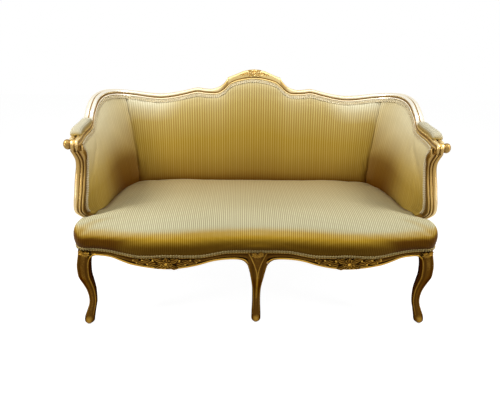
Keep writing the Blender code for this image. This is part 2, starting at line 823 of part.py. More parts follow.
def side_rail():
    """A side rail: bent behind the arm, straight ahead of it."""
    start = post_span(REAR_POST_SHARE)[1] + LAYER_GAP / path_unit(REAR_POST_SHARE, RAIL_TOP)
    rings = []
    for path in stations(start, 1.0):
        low, high = FRAME_BOTTOM, RAIL_TOP
        corners = ((low, -HALF_RAIL), (low, HALF_RAIL), (high, HALF_RAIL), (high, -HALF_RAIL))
        rings.append([at(path, height, depth) for height, depth in corners])
    front = side_rail_line(1.0)
    half, tall = HALF_RAIL, SEAT_RAIL_HEIGHT
    corners = ((half, 0.0), (-half, 0.0), (-half, tall), (half, tall))
    rings.append([front + Vector((x, 0.0, z)) for x, z in corners])
    return loft("side_rail", rings, "beech")


def make_seat_frame():
    """Rails, stretcher, braces and their screws."""
    both_sides(front_rail(), "front_rail")
    both_sides(side_rail(), "side_rail")
    clear = LAYER_GAP / path_unit(0.0, RAIL_TOP)
    inner, outer = post_span(0.0)[1] + clear, post_span(REAR_POST_SHARE)[0] - clear
    both_sides(bent_rail(inner, outer, FRAME_BOTTOM, RAIL_TOP, RAIL_THICKNESS), "rear_rail")
    stay_bottom = SEAT_CROWN_HEIGHT + STAY_LIFT
    stay_top = stay_bottom + STAY_HEIGHT
    both_sides(bent_rail(inner, outer, stay_bottom, stay_top, STAY_THICKNESS), "back_stay_rail")
    behind_arm = post_span(REAR_POST_SHARE)[1] + clear
    arm_end = 1.0 - SUPPORT_SETBACK / path_unit(1.0, RAIL_TOP)
    both_sides(bent_rail(behind_arm, arm_end, stay_bottom, stay_top, STAY_THICKNESS), "arm_stay_rail")

    top = RAIL_TOP - GAP
    bottom = top - STRETCHER_HEIGHT
    front = LEG_Y + BLOCK_HALF + GAP
    half = STRETCHER_WIDTH / 2
    grids = []
    for height in (bottom, top):
        rear = wall(0.0, height).y - HALF_RAIL - GAP
        grids.append([[Vector((x, y, height)) for x in (-half, half)] for y in (front, rear)])
    add_part("seat_stretcher", slab_mesh("seat_stretcher", grids[1], grids[0]), "beech")


def side_rail_face(share):
    """Innermost point of the side rail's inner face, from the arm support (0) to the front leg (1)."""
    front = side_rail_line(1.0) - Vector((HALF_RAIL, 0.0, 0.0))
    faces = [at(1.0, height, HALF_RAIL).lerp(front, share) for height in (FRAME_BOTTOM, RAIL_TOP)]
    return min(faces, key=lambda place: place.x)


def front_brace():
    """A brace across the front corner, between the front and side rails, clear of the leg's block."""
    y = FRONT_RAIL_BACK + GAP
    start = LEG_X - BLOCK_HALF - BRACE_WIDTH / 2
    length = side_rail_line(1.0).y - side_rail_line(0.0).y
    ends = []
    for reach in (BRACE_LENGTH, BRACE_LENGTH - BRACE_WIDTH):
        along = side_rail_face(1 + reach / length)
        ends.append((along.x - LAYER_GAP, along.y))
    outline = [(start, y), (start - BRACE_WIDTH, y), *ends]
    middle = ((start + ends[1][0]) / 2 - BRACE_WIDTH / 4, (y + ends[0][1]) / 2)
    return plate("brace", outline, RAIL_TOP - GAP - BRACE_THICKNESS, BRACE_THICKNESS, "beech"), middle


def rear_brace():
    """A brace across the rear corner, between the rear and side rails."""
    near = BRACE_LENGTH / path_unit(REAR_POST_SHARE, RAIL_TOP)
    far = near + BRACE_WIDTH / 2 / path_unit(REAR_POST_SHARE, RAIL_TOP)
    outline = []
    for reach in (-near, -far, far, near):
        point = at(REAR_POST_SHARE + reach, FRAME_BOTTOM + SEAT_RAIL_HEIGHT / 2, HALF_RAIL + SEAT_EASE)
        outline.append((point.x, point.y))
    middle = (sum(x for x, y in outline) / 4, sum(y for x, y in outline) / 4)
    return plate("brace", outline, RAIL_TOP - GAP - BRACE_THICKNESS, BRACE_THICKNESS, "beech"), middle


def disc(name, x, y, bottom, radius, height):
    """A low upright disc of steel."""
    bm = bmesh.new()
    place = Matrix.Translation((x, y, bottom + height / 2))
    bmesh.ops.create_cone(
        bm, cap_ends=True, segments=LEG_SIDES, radius1=radius, radius2=radius, depth=height, matrix=place
    )
    return add_part(name, finish_mesh(name, bm), "steel")


def make_braces():
    """The four corner braces and the heads of their screws."""
    bottom = RAIL_TOP - GAP - BRACE_THICKNESS - GAP - SCREW_HEAD_HEIGHT
    for maker, base in ((front_brace, "front_brace"), (rear_brace, "rear_brace")):
        part, (x, y) = maker()
        both_sides(part, base)
        both_sides(disc("screw", x, y, bottom, SCREW_HEAD_RADIUS, SCREW_HEAD_HEIGHT), f"{base}_screw")


# Show wood of the back, wings and arms
def rail_ring(path, width):
    """A section of the show-wood rail: a rounded lip with a tongue behind the cloth."""
    under = head_under(path)
    centre = wall(path, under)
    side = inward(path, under)
    points = [(share_x * width / 2, share_z * lip_height(path)) for share_x, share_z in RAIL_LIP_SHARES]
    tongue = TONGUE_WIDTH / 2
    points += [(tongue, 0.0), (tongue, -TONGUE_HEIGHT), (-tongue, -TONGUE_HEIGHT), (-tongue, 0.0)]
    return [centre + side * x + Vector((0.0, 0.0, z)) for x, z in points]


def knuckle_ring(reach):
    """A section of the arm's end over its support, as deep as the scroll, a level reach ahead of the pads."""
    under = head_under(1.0)
    side = inward(1.0, under)
    points = [(share_x * ARM_WIDTH / 2, share_z * LIP_HEIGHT) for share_x, share_z in RAIL_LIP_SHARES]
    half = SUPPORT_WIDTH / 2
    low = LIP_HEIGHT - 2 * SCROLL_RADIUS
    points += [(half, low / 2), (half, low), (-half, low), (-half, low / 2)]
    return [wall(1.0, under) + reach + side * x + Vector((0.0, 0.0, z)) for x, z in points]


def rail_width(path):
    """The rail is broader on the wings and arms than on the back."""
    along = (abs(path) - CREST_JOINT_SHARE) / (ARM_JOINT_SHARE - CREST_JOINT_SHARE)
    return RAIL_WIDTH + (ARM_WIDTH - RAIL_WIDTH) * ease(along)


def show_rail(name, start, end):
    """A stretch of the show-wood rail along the wall's head."""
    return loft(name, [rail_ring(path, rail_width(path)) for path in stations(start, end)], "gilt")


def joint_half(path):
    """Half of the hairline joint between two rails, as a path share."""
    return GAP / 2 / path_unit(path, head_under(path))


def arm_scroll_centre():
    """Middle of the scroll that ends the arm."""
    tip = wall(1.0, head_under(1.0))
    along = tip - wall(1.0 - FINE_STEP_SHARE, head_under(1.0))
    along.z = 0.0
    centre = tip + along.normalized() * (SUPPORT_DEPTH / 2 + SCROLL_REACH / 2)
    return centre + Vector((SCROLL_OFFSET, 0.0, LIP_HEIGHT - SCROLL_RADIUS))


def arm_rail():
    """The arm: a level rail that runs out over its support and rolls into a scroll."""
    start = ARM_JOINT_SHARE + joint_half(ARM_JOINT_SHARE)
    rings = [rail_ring(path, ARM_WIDTH) for path in stations(start, 1.0)]
    reach = arm_scroll_centre() - Vector((SCROLL_OFFSET, 0.0, 0.0)) - wall(1.0, head_under(1.0))
    reach.z = 0.0
    rings += [knuckle_ring(reach.normalized() * LAYER_GAP), knuckle_ring(reach)]
    rail = loft("arm_rail", rings, "gilt")

    bm = bmesh.new()
    turn = Matrix.Translation(arm_scroll_centre()) @ Matrix.Rotation(math.pi / 2, 4, "Y")
    bmesh.ops.create_cone(
        bm, cap_ends=True, segments=2 * LEG_SIDES, radius1=SCROLL_RADIUS, radius2=SCROLL_RADIUS,
        depth=SCROLL_LENGTH, matrix=turn,
    )
    rims = [edge for edge in bm.edges if edge.calc_face_angle(0.0) > SHARP_ANGLE]
    bmesh.ops.bevel(bm, geom=rims, offset=SCROLL_ROUND, segments=2, profile=0.5, affect="EDGES")
    drum = bpy.data.objects.new("arm_scroll_cutter", finish_mesh("arm_scroll_cutter", bm))
    drum.display_type = "WIRE"
    drum.hide_render = True
    drum.parent = SETTEE
    CUTTERS.objects.link(drum)
    join = rail.modifiers.new("scroll", "BOOLEAN")
    join.operation = "UNION"
    join.solver = "EXACT"
    join.object = drum
    bpy.context.view_layer.update()
    shape = rail.evaluated_get(bpy.context.evaluated_depsgraph_get())
    mesh = bpy.data.meshes.new_from_object(shape)
    rail.modifiers.clear()
    rail.data = mesh
    return rail


def arm_support():
    """The swept support that carries the arm's front."""
    rings = []
    top = head_top(1.0) - 2 * SCROLL_RADIUS - GAP
    bottom = DECK_HEIGHT + GAP
    levels = [bottom + (cloth_top(1.0) - bottom) * level for level in PAD_LEVEL_SHARES]
    for height in [RAIL_TOP + GAP, *(level for level in levels if level < top - GAP), top]:
        side = inward(1.0, height)
        forward = Vector((-side.y, side.x, 0.0))
        middle = wall(1.0, height) + forward * (SUPPORT_DEPTH / 2 + LAYER_GAP)
        half_x, half_y = side * (SUPPORT_WIDTH / 2), forward * (SUPPORT_DEPTH / 2)
        rings.append([middle + half_x * u + half_y * v for u, v in rounded_unit(SUPPORT_ROUNDING)])
    return loft("arm_support", rings, "gilt")


def arm_pad():
    """The padded rest on top of the arm."""
    start, end = ARM_PAD_SHARES
    rings = []
    for path in stations(start, end):
        top = head_top(path) + GAP
        centre = wall(path, head_under(path))
        side = inward(path, head_under(path))
        along = (path - start) / (end - start)
        swell = math.sqrt(max(1 - (2 * along - 1) ** 6, 0.0))
        height = ARM_PAD_HEIGHT * (ARM_PAD_END_HEIGHT_SHARE + (1 - ARM_PAD_END_HEIGHT_SHARE) * swell)
        half = ARM_WIDTH / 2 * (ARM_PAD_END_WIDTH_SHARE + (1 - ARM_PAD_END_WIDTH_SHARE) * swell)
        ring = []
        for share_x, share_z in ARM_PAD_SECTION_SHARES:
            point = centre + side * (half * share_x)
            point.z = top + height * share_z
            ring.append(point)
        rings.append(ring)
    return loft("arm_pad", rings, "stripe_cloth")


def make_show_rails():
    """Crest, wings, arms, their supports and the arm pads."""
    crest = CREST_JOINT_SHARE - joint_half(CREST_JOINT_SHARE)
    show_rail("crest_rail", -crest, crest)
    wing_start = CREST_JOINT_SHARE + joint_half(CREST_JOINT_SHARE)
    wing_end = ARM_JOINT_SHARE - joint_half(ARM_JOINT_SHARE)
    both_sides(show_rail("rail", wing_start, wing_end), "wing_rail")
    both_sides(arm_rail(), "arm_rail")
    both_sides(arm_support(), "arm_support")
    both_sides(arm_pad(), "arm_pad")


# Seat upholstery
def flipped(place):
    """A place or a way on the other side of the settee."""
    return Vector((-place.x, place.y, place.z))


def seat_outline():
    """Half of the seat pad's plan, from the front middle to the rear middle.

    Each row is a point, the way in towards the pad at the skirt, and whether the skirt hangs there.
    """
    rows = []
    for x in front_stations():
        rows.append((Vector((x, front_edge(x), 0.0)), Vector((0.0, 1.0, 0.0)), True))
    for k in range(1, CORNER_STATIONS + 1):
        angle = -math.pi / 2 + math.pi / 2 * k / CORNER_STATIONS
        out = Vector((math.cos(angle), math.sin(angle), 0.0))
        rows.append((Vector((LEG_X, LEG_Y, 0.0)) + out * CORNER_RADIUS, -out, True))
    rise = SEAT_CROWN_HEIGHT - DECK_HEIGHT
    support_rear = [wall(1.0, DECK_HEIGHT + rise * level) for level in SHEET_LEVEL_SHARES]
    stop = min(place.y for place in support_rear) - SUPPORT_DEPTH - LAYER_GAP - 2 * NOTCH_EASE
    rows.append((Vector((HALF_SEAT, stop, 0.0)), Vector((-1.0, 0.0, 0.0)), True))
    inner = HALF_SEAT - SKIRT_THICKNESS
    rows.append((Vector((inner - GAP, stop + GAP, 0.0)), None, False))
    notch = min(place.x for place in support_rear) - SUPPORT_WIDTH / 2 - NOTCH_EASE
    rows.append((Vector((notch, stop + NOTCH_EASE, 0.0)), None, False))
    heights = [DECK_HEIGHT + (SEAT_EDGE_HEIGHT - DECK_HEIGHT) * level for level in SHEET_LEVEL_SHARES]
    for path in reversed(stations(0.0, 1.0)):
        foot = wall(path, DECK_HEIGHT)
        side = inward(path, DECK_HEIGHT)
        reach = 0.0
        for height in heights:
            level = (height - DECK_HEIGHT) / (cloth_top(path) - DECK_HEIGHT)
            face = at(path, height, pad_depth(path, level))
            reach = max(reach, (face - foot).dot(side))
        point = foot + side * (reach + SEAT_EASE)
        rows.append((Vector((point.x, point.y, 0.0)), None, False))
    return rows


def seat_pad():
    """The tight seat: a skirt over the rail, a rolled edge and a low crown."""
    half = seat_outline()
    left = [(flipped(point), way and flipped(way), skirt) for point, way, skirt in half[-2:0:-1]]
    rows = half + left
    middle = Vector((0.0, (half[0][0].y + half[-1][0].y) / 2, 0.0))
    underside = DECK_HEIGHT + GAP

    def ring(inset, drop):
        points = []
        for point, way, skirt in rows:
            shift = way * inset if skirt else Vector()
            height = GIMP_BOTTOM if skirt and drop else underside
            points.append(point + shift + Vector((0.0, 0.0, height)))
        return points

    rings = [ring(SKIRT_THICKNESS, False), ring(SKIRT_THICKNESS, True)]
    for rise_share, bulge_share in SKIRT_SHARES:
        height = GIMP_BOTTOM + (SEAT_EDGE_HEIGHT - GIMP_BOTTOM) * rise_share
        bulge = []
        for point, way, skirt in rows:
            shift = -way * SKIRT_BULGE * bulge_share if skirt else Vector()
            bulge.append(point + shift + Vector((0.0, 0.0, height if skirt else max(height, underside))))
        rings.append(bulge)
    for inset, crown_share in SEAT_RING_SHARES:
        height = SEAT_EDGE_HEIGHT + SEAT_CROWN * crown_share
        rings.append([point + (middle - point) * inset + Vector((0.0, 0.0, height)) for point, _, _ in rows])
    return loft("seat_pad", rings, "stripe_cloth")


def seat_gimp():
    """The braid along the foot of the seat's cloth."""
    half = [row for row in seat_outline() if row[2]]
    rows = [(flipped(point), flipped(way), skirt) for point, way, skirt in half[:0:-1]] + half
    levels = (GIMP_BOTTOM, GIMP_BOTTOM + GIMP_WIDTH)
    rise_share, bulge_share = SKIRT_SHARES[1]
    lean = SKIRT_BULGE * bulge_share * GIMP_WIDTH / ((SEAT_EDGE_HEIGHT - GIMP_BOTTOM) * rise_share)
    grids = []
    for depth in (LAYER_GAP + GIMP_THICKNESS, LAYER_GAP):
        grid = []
        for z, out in zip(levels, (depth, depth + lean)):
            grid.append([point - way * out + Vector((0.0, 0.0, z)) for point, way, _ in rows])
        grids.append(grid)
    add_part("seat_gimp", slab_mesh("seat_gimp", *grids), "braid")


def seat_webbing(bottom):
    """Strips of webbing laid both ways over the seat rails, sewn where they cross."""
    half = WEBBING_WIDTH / 2
    middles = [side * share * LEG_X for side in (-1, 1) for share in WEBBING_ALONG_SHARES]
    columns = sorted(x + edge for x in middles for edge in (-half, half))
    across = sorted((at(path, RAIL_TOP, 0.0) for path in WEBBING_ACROSS_SHARES), key=lambda place: place.y)
    front = FRONT_RAIL_BACK - WEBBING_HOLD
    rear = wall(0.0, RAIL_TOP).y + WEBBING_HOLD
    strips = [(place.y + edge, place.x) for place in across for edge in (-half, half)]
    rows = [(front, None), *strips, (rear, None)]
    bm = bmesh.new()
    corners = {}

    def corner(i, j):
        y, reach = rows[i]
        x = columns[j] if 0 <= j < len(columns) else math.copysign(reach, j)
        if (i, j) not in corners:
            corners[i, j] = bm.verts.new((x, y, bottom))
        return corners[i, j]

    for i in range(len(rows) - 1):
        crossing = i % 2 == 1
        for j in range(-1, len(columns)):
            strip = j % 2 == 0 and 0 <= j < len(columns) - 1
            if crossing or strip:
                bm.faces.new((corner(i, j), corner(i, j + 1), corner(i + 1, j + 1), corner(i + 1, j)))
    bmesh.ops.recalc_face_normals(bm, faces=bm.faces)
    part = add_part("seat_webbing", finish_mesh("seat_webbing", bm, smooth=False), "jute")
    thicken = part.modifiers.new("thickness", "SOLIDIFY")
    thicken.thickness = WEBBING_THICKNESS
    thicken.offset = 1.0
    return part


def make_seat_deck():
    """Webbing laid both ways over the seat rails, the sheet over it and the dust cover below."""
    seat_webbing(RAIL_TOP + GAP)
    inside = [at(path, RAIL_TOP, SUPPORT_WIDTH / 2 + LAYER_GAP) for path in stations(0.0, 1.0)]
    outline = [(p.x, p.y) for p in inside]
    inner_line = side_rail_line(1.0).x - HALF_RAIL
    sheet = outline + [(inner_line, FRONT_RAIL_BACK), (LEG_X - BLOCK_HALF, FRONT_RAIL_BACK - WEBBING_HOLD)]
    bottom = RAIL_TOP + GAP + WEBBING_THICKNESS + GAP
    plate("seat_hessian", closed_by_mirror(sheet), bottom, HESSIAN_THICKNESS, "jute")

    below = [at(path, FRAME_BOTTOM, HALF_RAIL + LAYER_GAP) for path in stations(0.0, 1.0)]
    front = side_rail_line(1.0)
    cover = [(p.x, p.y) for p in below] + [(front.x - HALF_RAIL - LAYER_GAP, front.y)]
    plate("dust_cover", closed_by_mirror(cover), FRAME_BOTTOM + GAP, DUST_COVER_THICKNESS, "cambric")


def closed_by_mirror(outline):
    """A whole plan outline from its right half, which starts on the middle line at the rear."""
    return outline + [(-x, y) for x, y in reversed(outline) if x > GAP]


# Carving
def garland(name, place, half_length, half_height):
    """A flower between two leaf sprays that taper away, carved in one piece on a face.

    place gives a point of the face for a distance along it.
    """
    shares = [row for row in reversed(GARLAND_SHARES)] + list(GARLAND_SHARES[1:])
    count = len(GARLAND_SHARES) - 1
    out = Vector((0.0, -1.0, 0.0))
    up = Vector((0.0, 0.0, 1.0))
    rings = []
    for k, (reach, size) in enumerate(shares):
        distance = math.copysign(reach, k - count) * half_length
        foot = place(distance) + out * GAP
        half = half_height * size
        depth = CARVING_DEPTH * math.sqrt(size)
        rings.append([foot + up * (half * u) + out * (depth * v) for u, v in GARLAND_SECTION_SHARES])
    return loft(name, rings, "gilt")


def crest_carving():
    """The flower and leaf sprays on the crest."""
    unit = path_unit(0.0, SHOULDER_HEIGHT)

    def place(distance):
        path = distance / unit
        under = head_under(path)
        point = wall(path, under) + inward(path, under) * (RAIL_WIDTH / 2)
        point.z = under + lip_height(path) / 2
        return point

    return garland("crest_carving", place, CREST_GARLAND_HALF, LIP_HEIGHT * CREST_FLOWER_SHARE)


def apron_carving():
    """The flower and leaf sprays on one swell of the front rail."""
    middle = HALF_SEAT / 2

    def place(distance):
        x = middle + distance
        return Vector((x, front_edge(x) - MOULDING_SWELL, (FRAME_BOTTOM + apron_bottom(x)) / 2))

    return garland("carving", place, APRON_GARLAND_HALF, APRON_DROP / 2 * APRON_FLOWER_SHARE)


# Assembly
def make_legs():
    """Six legs and the glides under them."""
    feet = {}
    for row, (leg, foot) in (("front", corner_leg()), ("rear", rear_leg("leg", REAR_POST_SHARE))):
        leg.name = f"{row}_right_leg"
        mirrored(leg, f"{row}_left_leg")
        feet[f"{row}_right"] = foot
        feet[f"{row}_left"] = (-foot[0], foot[1])
    feet["front_centre"] = centre_leg()[1]
    feet["rear_centre"] = rear_leg("rear_centre_leg", 0.0)[1]
    for name, (x, y) in feet.items():
        disc(f"{name}_glide", x, y, 0.0, GLIDE_RADIUS, GLIDE_HEIGHT)
    return feet


def centre_on_floor():
    """Moves the whole settee so that the middle of its outline stands over the origin."""
    bpy.context.view_layer.update()
    low = Vector((math.inf, math.inf, math.inf))
    high = -low
    for part in PARTS.objects:
        for corner in part.bound_box if part.type != "EMPTY" else ():
            point = part.matrix_world @ Vector(corner)
            low = Vector(map(min, low, point))
            high = Vector(map(max, high, point))
    SETTEE.location = (-(low.x + high.x) / 2, -(low.y + high.y) / 2, 0.0)
    bpy.context.view_layer.update()
    return high - low


def main():
    """Builds the settee and prints its size and where its feet stand."""
    link_collections()
    feet = make_legs()
    make_seat_frame()
    make_braces()
    make_show_rails()
    make_pads()
    make_outside_covers()
    make_wall_gimp()
    seat_pad()
    seat_gimp()
    make_seat_deck()
    crest_carving()
    both_sides(apron_carving(), "apron_carving")
    size = centre_on_floor()
    print("size", [round(v, 4) for v in size])
    for name, (x, y) in feet.items():
        print(name, "foot at", round(x + SETTEE.location.x, 5), round(y + SETTEE.location.y, 5))


main()
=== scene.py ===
"""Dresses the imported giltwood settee: moulded and carved gold leaf, striped satin, scalloped braid."""

import logging
import math
from dataclasses import dataclass
from enum import Enum
from functools import cached_property
from typing import Callable, Sequence

import bpy
import numpy as np
from mathutils import Matrix, Vector
from mathutils.kdtree import KDTree
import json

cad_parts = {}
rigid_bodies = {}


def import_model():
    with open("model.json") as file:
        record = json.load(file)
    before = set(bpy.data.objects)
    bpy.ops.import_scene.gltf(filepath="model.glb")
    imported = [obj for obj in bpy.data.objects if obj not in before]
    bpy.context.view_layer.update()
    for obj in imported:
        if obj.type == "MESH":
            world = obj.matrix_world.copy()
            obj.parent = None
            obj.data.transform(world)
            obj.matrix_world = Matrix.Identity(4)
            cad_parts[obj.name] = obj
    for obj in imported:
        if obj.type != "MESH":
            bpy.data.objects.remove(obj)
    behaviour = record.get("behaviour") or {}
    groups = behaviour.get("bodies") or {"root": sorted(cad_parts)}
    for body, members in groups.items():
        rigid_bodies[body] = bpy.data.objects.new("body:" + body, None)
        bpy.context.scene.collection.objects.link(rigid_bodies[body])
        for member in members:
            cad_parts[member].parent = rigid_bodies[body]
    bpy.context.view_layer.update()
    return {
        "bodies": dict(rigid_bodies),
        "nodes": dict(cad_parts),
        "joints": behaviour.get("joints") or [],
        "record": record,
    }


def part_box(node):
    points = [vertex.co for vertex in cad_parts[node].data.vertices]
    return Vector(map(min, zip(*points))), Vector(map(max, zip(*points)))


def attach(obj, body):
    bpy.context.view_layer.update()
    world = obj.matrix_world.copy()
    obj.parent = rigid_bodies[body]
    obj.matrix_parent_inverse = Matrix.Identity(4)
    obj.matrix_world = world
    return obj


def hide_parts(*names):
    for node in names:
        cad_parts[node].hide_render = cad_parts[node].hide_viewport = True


LOG = logging.getLogger("settee")
Array = np.ndarray
Values = Array | float
Table = Sequence[Sequence[float]]
Colour = tuple[float, float, float]
Piece = bpy.types.Object
Socket = bpy.types.NodeSocket
MERGE = 2e-6
CLEAR = 0.0004
UP = np.array((0.0, 0.0, 1.0))
MIRROR = np.array((-1.0, 1.0))


# Curves
def smooth(table: Table, key: Values) -> Array:
    """Values of a table on a smooth curve through its rows.

    Args:
        table: Rows of a rising key and its values.
        key: Places to read.

    Returns:
        An array of the values, with one more axis than the keys.
    """
    rows = np.asarray(table, float)
    keys = np.asarray(key, float)
    count = len(rows)
    low, high = np.maximum(np.arange(count) - 1, 0), np.minimum(np.arange(count) + 1, count - 1)
    slopes = (rows[high, 1:] - rows[low, 1:]) / (rows[high, :1] - rows[low, :1])
    i = np.clip(np.searchsorted(rows[:, 0], keys, side="right") - 1, 0, count - 2)
    span = (rows[i + 1, 0] - rows[i, 0])[..., None]
    t = (keys - rows[i, 0])[..., None] / span
    return (
        (2 * t**3 - 3 * t**2 + 1) * rows[i, 1:]
        + (t**3 - 2 * t**2 + t) * slopes[i] * span
        + (3 * t**2 - 2 * t**3) * rows[i + 1, 1:]
        + (t**3 - t**2) * slopes[i + 1] * span
    )


def ease(t: Values) -> Array:
    """A smooth step from 0 to 1."""
    t = np.clip(t, 0.0, 1.0)
    return t * t * (3 - 2 * t)


def unit(vectors: Array) -> Array:
    """Vectors made one metre long."""
    return vectors / np.maximum(np.linalg.norm(vectors, axis=-1, keepdims=True), 1e-12)


def lengths(points: Array) -> Array:
    """Distance along a line of points, from its first one."""
    steps = np.linalg.norm(np.diff(points, axis=0), axis=1)
    return np.concatenate([[0.0], np.cumsum(steps)])


def respaced(points: Array, spacing: float) -> Array:
    """A line of points set out again at an even spacing.

    Args:
        points: The line.
        spacing: Distance between the new points.

    Returns:
        The new points, with both ends kept.
    """
    run = lengths(points)
    count = max(int(round(run[-1] / spacing)), 2)
    at = np.linspace(0.0, run[-1], count + 1)
    return np.stack([np.interp(at, run, points[:, k]) for k in range(points.shape[1])], axis=1)


def xyz(*parts: Values) -> Array:
    """Coordinates put together as points in their last axis."""
    return np.stack(np.broadcast_arrays(*parts), axis=-1)


def quarter(ways: Array) -> Array:
    """Level ways turned a quarter to the left."""
    return xyz(-ways[..., 1], ways[..., 0], 0.0)


def hill(at: Array, middle: float, width: float) -> Array:
    """A smooth rise to 1 at the middle."""
    return np.exp(-(((at - middle) / width) ** 2))


def turns(count: int, start: float = 0.0) -> Array:
    """Even turns of a ring, in radians."""
    return 2 * math.pi * (np.arange(count) + start) / count


# The settee's form
@dataclass(frozen=True)
class SetteeLines:
    """The bent wall of the back, wings and arms, and the serpentine front, in metres.

    A place on the wall is a path share (0 at the middle of the back, 1 at the right arm support, negative on
    the left) and a height.
    """

    shift: float
    half_seat: float = 0.674
    seat_depth: float = 0.603
    foot_half: float = 0.650
    head_half: float = 0.708
    shoulder: float = 0.845
    crest_rise: float = 0.090
    crest_deepening: float = 0.021
    arm_height: float = 0.729
    rake: float = math.tan(math.radians(11.6))
    crown: float = 0.454
    seat_edge: float = 0.439
    frame_bottom: float = 0.329
    rail_top: float = 0.394
    deck: float = 0.3988
    lip: float = 0.024
    rail_thickness: float = 0.026
    support_width: float = 0.040
    support_depth: float = 0.034
    sway_out: float = 0.022
    sway_forward: float = 0.042
    sway_start: float = 0.80
    roll_start: float = 0.90
    front_bulge: float = 0.034
    skirt: float = 0.012
    skirt_bulge: float = 0.015
    corner_radius: float = 0.036
    apron_drop: float = 0.060
    seam_share: float = 0.53
    gap: float = 0.0003
    pad_back: float = 0.0155
    back_depth: float = 0.047
    wing_depth: float = 0.022
    foot_plan: Table = (
        (0.0, 0.0, 1.0), (0.27, 0.47, 1.0), (0.43, 0.74, 0.993), (0.53, 0.885, 0.94), (0.635, 0.962, 0.785),
        (0.735, 0.989, 0.61), (0.83, 1.002, 0.46), (1.0, 1.012, 0.308),
    )
    head_plan: Table = (
        (0.0, 0.0, 1.0), (0.27, 0.445, 1.0), (0.43, 0.712, 0.986), (0.53, 0.876, 0.918),
        (0.635, 0.980, 0.768), (0.735, 1.0, 0.598), (0.83, 0.982, 0.435), (0.925, 0.968, 0.278),
        (1.0, 0.945, 0.158),
    )
    head_heights: Table = (
        (0.0, 1.0), (0.165, 0.965), (0.205, 0.985), (0.237, 1.02), (0.287, 0.91), (0.33, 0.82), (0.38, 0.76),
        (0.43, 0.79), (0.50, 0.91), (0.57, 0.995), (0.62, 0.98), (0.68, 0.80), (0.73, 0.48), (0.77, 0.17),
        (0.82, 0.06), (0.91, 0.02), (1.0, 0.0),
    )
    crest_shares: Table = (
        (0.0, 1.0), (0.02, 0.985), (0.045, 0.91), (0.078, 0.76), (0.098, 0.60), (0.128, 0.18), (0.16, 0.0),
        (1.0, 0.0),
    )
    sway: Table = (
        (0.0, 0.0, 0.0), (0.08, 0.80, 0.45), (0.16, 1.0, 0.83), (0.30, 0.60, 1.0), (0.42, 0.26, 0.80),
        (0.53, 0.10, 0.48), (0.64, 0.0, 0.12), (0.77, -0.28, -0.05), (0.90, -0.42, -0.02),
        (1.0, -0.24, 0.07),
    )
    apron: Table = (
        (0.0, 1.16), (0.035, 1.12), (0.050, 0.96), (0.068, 0.77), (0.095, 0.63), (0.13, 0.56), (0.20, 0.54),
        (0.27, 0.61), (0.35, 0.81), (0.43, 0.94), (0.52, 1.0), (0.62, 0.94), (0.70, 0.84), (0.745, 0.75),
        (0.80, 0.56), (0.85, 0.37), (0.91, 0.31), (0.95, 0.32), (0.967, 0.40), (0.985, 0.62), (1.0, 0.85),
    )
    hem: Table = (
        (0.0, 0.006), (0.06, 0.004), (0.12, 0.003), (0.165, 0.0085), (0.21, 0.0135), (0.27, 0.0115),
        (0.335, 0.008), (0.395, 0.0125), (0.44, 0.0145), (0.49, 0.008), (0.54, 0.0), (0.585, -0.003),
        (0.66, -0.003), (0.70, -0.003),
    )
    back_profile: Table = (
        (0.0, 0.82), (0.10, 1.0), (0.28, 0.80), (0.48, 0.47), (0.75, 0.28), (0.93, 0.18), (1.0, 0.0),
    )
    wing_profile: Table = (
        (0.0, 0.85), (0.12, 1.0), (0.30, 0.95), (0.50, 0.80), (0.75, 0.62), (0.93, 0.42), (1.0, 0.0),
    )

    @property
    def leg_x(self) -> float:
        """Middle of the right front leg's block, across."""
        return self.half_seat - self.corner_radius

    @property
    def leg_y(self) -> float:
        """Middle of the front legs' blocks, from front to back."""
        return self.corner_radius + self.shift

    @property
    def head_depth(self) -> float:
        """Depth of the wall's head behind the seat's front edge."""
        return self.seat_depth + (self.shoulder - self.lip - self.frame_bottom) * self.rake

    def crest(self, path: Values) -> Array:
        """Share of the crest's rise along the path."""
        return smooth(self.crest_shares, np.abs(path))[..., 0]

    def head_top(self, path: Values) -> Array:
        """Height of the show wood's top along the path."""
        share = smooth(self.head_heights, np.abs(path))[..., 0]
        rise = (self.shoulder - self.arm_height) * share
        return self.arm_height + rise + self.crest_rise * self.crest(path)

    def lip_height(self, path: Values) -> Array:
        """Height of the show wood above the cloth."""
        return self.lip + self.crest_deepening * self.crest(path) ** 2

    def head_under(self, path: Values) -> Array:
        """Height where the cloth meets the show wood."""
        return self.head_top(path) - self.lip_height(path)

    def wall(self, path: Values, height: Values) -> Array:
        """Points on the middle surface of the wall."""
        path, height = np.broadcast_arrays(np.asarray(path, float), np.asarray(height, float))
        side = np.abs(path)
        foot, head = smooth(self.foot_plan, side), smooth(self.head_plan, side)
        under = self.head_under(side)
        rise = (height - self.frame_bottom) / (under - self.frame_bottom)
        lean = self.rake * self.crest_rise * self.crest(side)
        foot_x, foot_y = self.foot_half * foot[..., 0], self.seat_depth * foot[..., 1]
        x = foot_x + (self.head_half * head[..., 0] - foot_x) * rise
        y = foot_y + (self.head_depth * head[..., 1] + lean - foot_y) * rise
        grip = ease((side - self.sway_start) / (1 - self.sway_start))
        level = np.clip((height - self.rail_top) / (under - self.rail_top), 0.0, None)
        swayed = smooth(self.sway, level)
        x = x + grip * self.sway_out * swayed[..., 0]
        y = y - grip * self.sway_forward * swayed[..., 1]
        return np.stack([np.copysign(x, path), y + self.shift, height], axis=-1)

    def inward(self, path: Values, height: Values) -> Array:
        """Level directions from the wall towards the sitter."""
        path = np.asarray(path, float)
        ahead, behind = np.minimum(path + 0.004, 1.0), np.maximum(path - 0.004, -1.0)
        along = self.wall(ahead, height) - self.wall(behind, height)
        return unit(np.stack([along[..., 1], -along[..., 0], np.zeros_like(along[..., 0])], axis=-1))

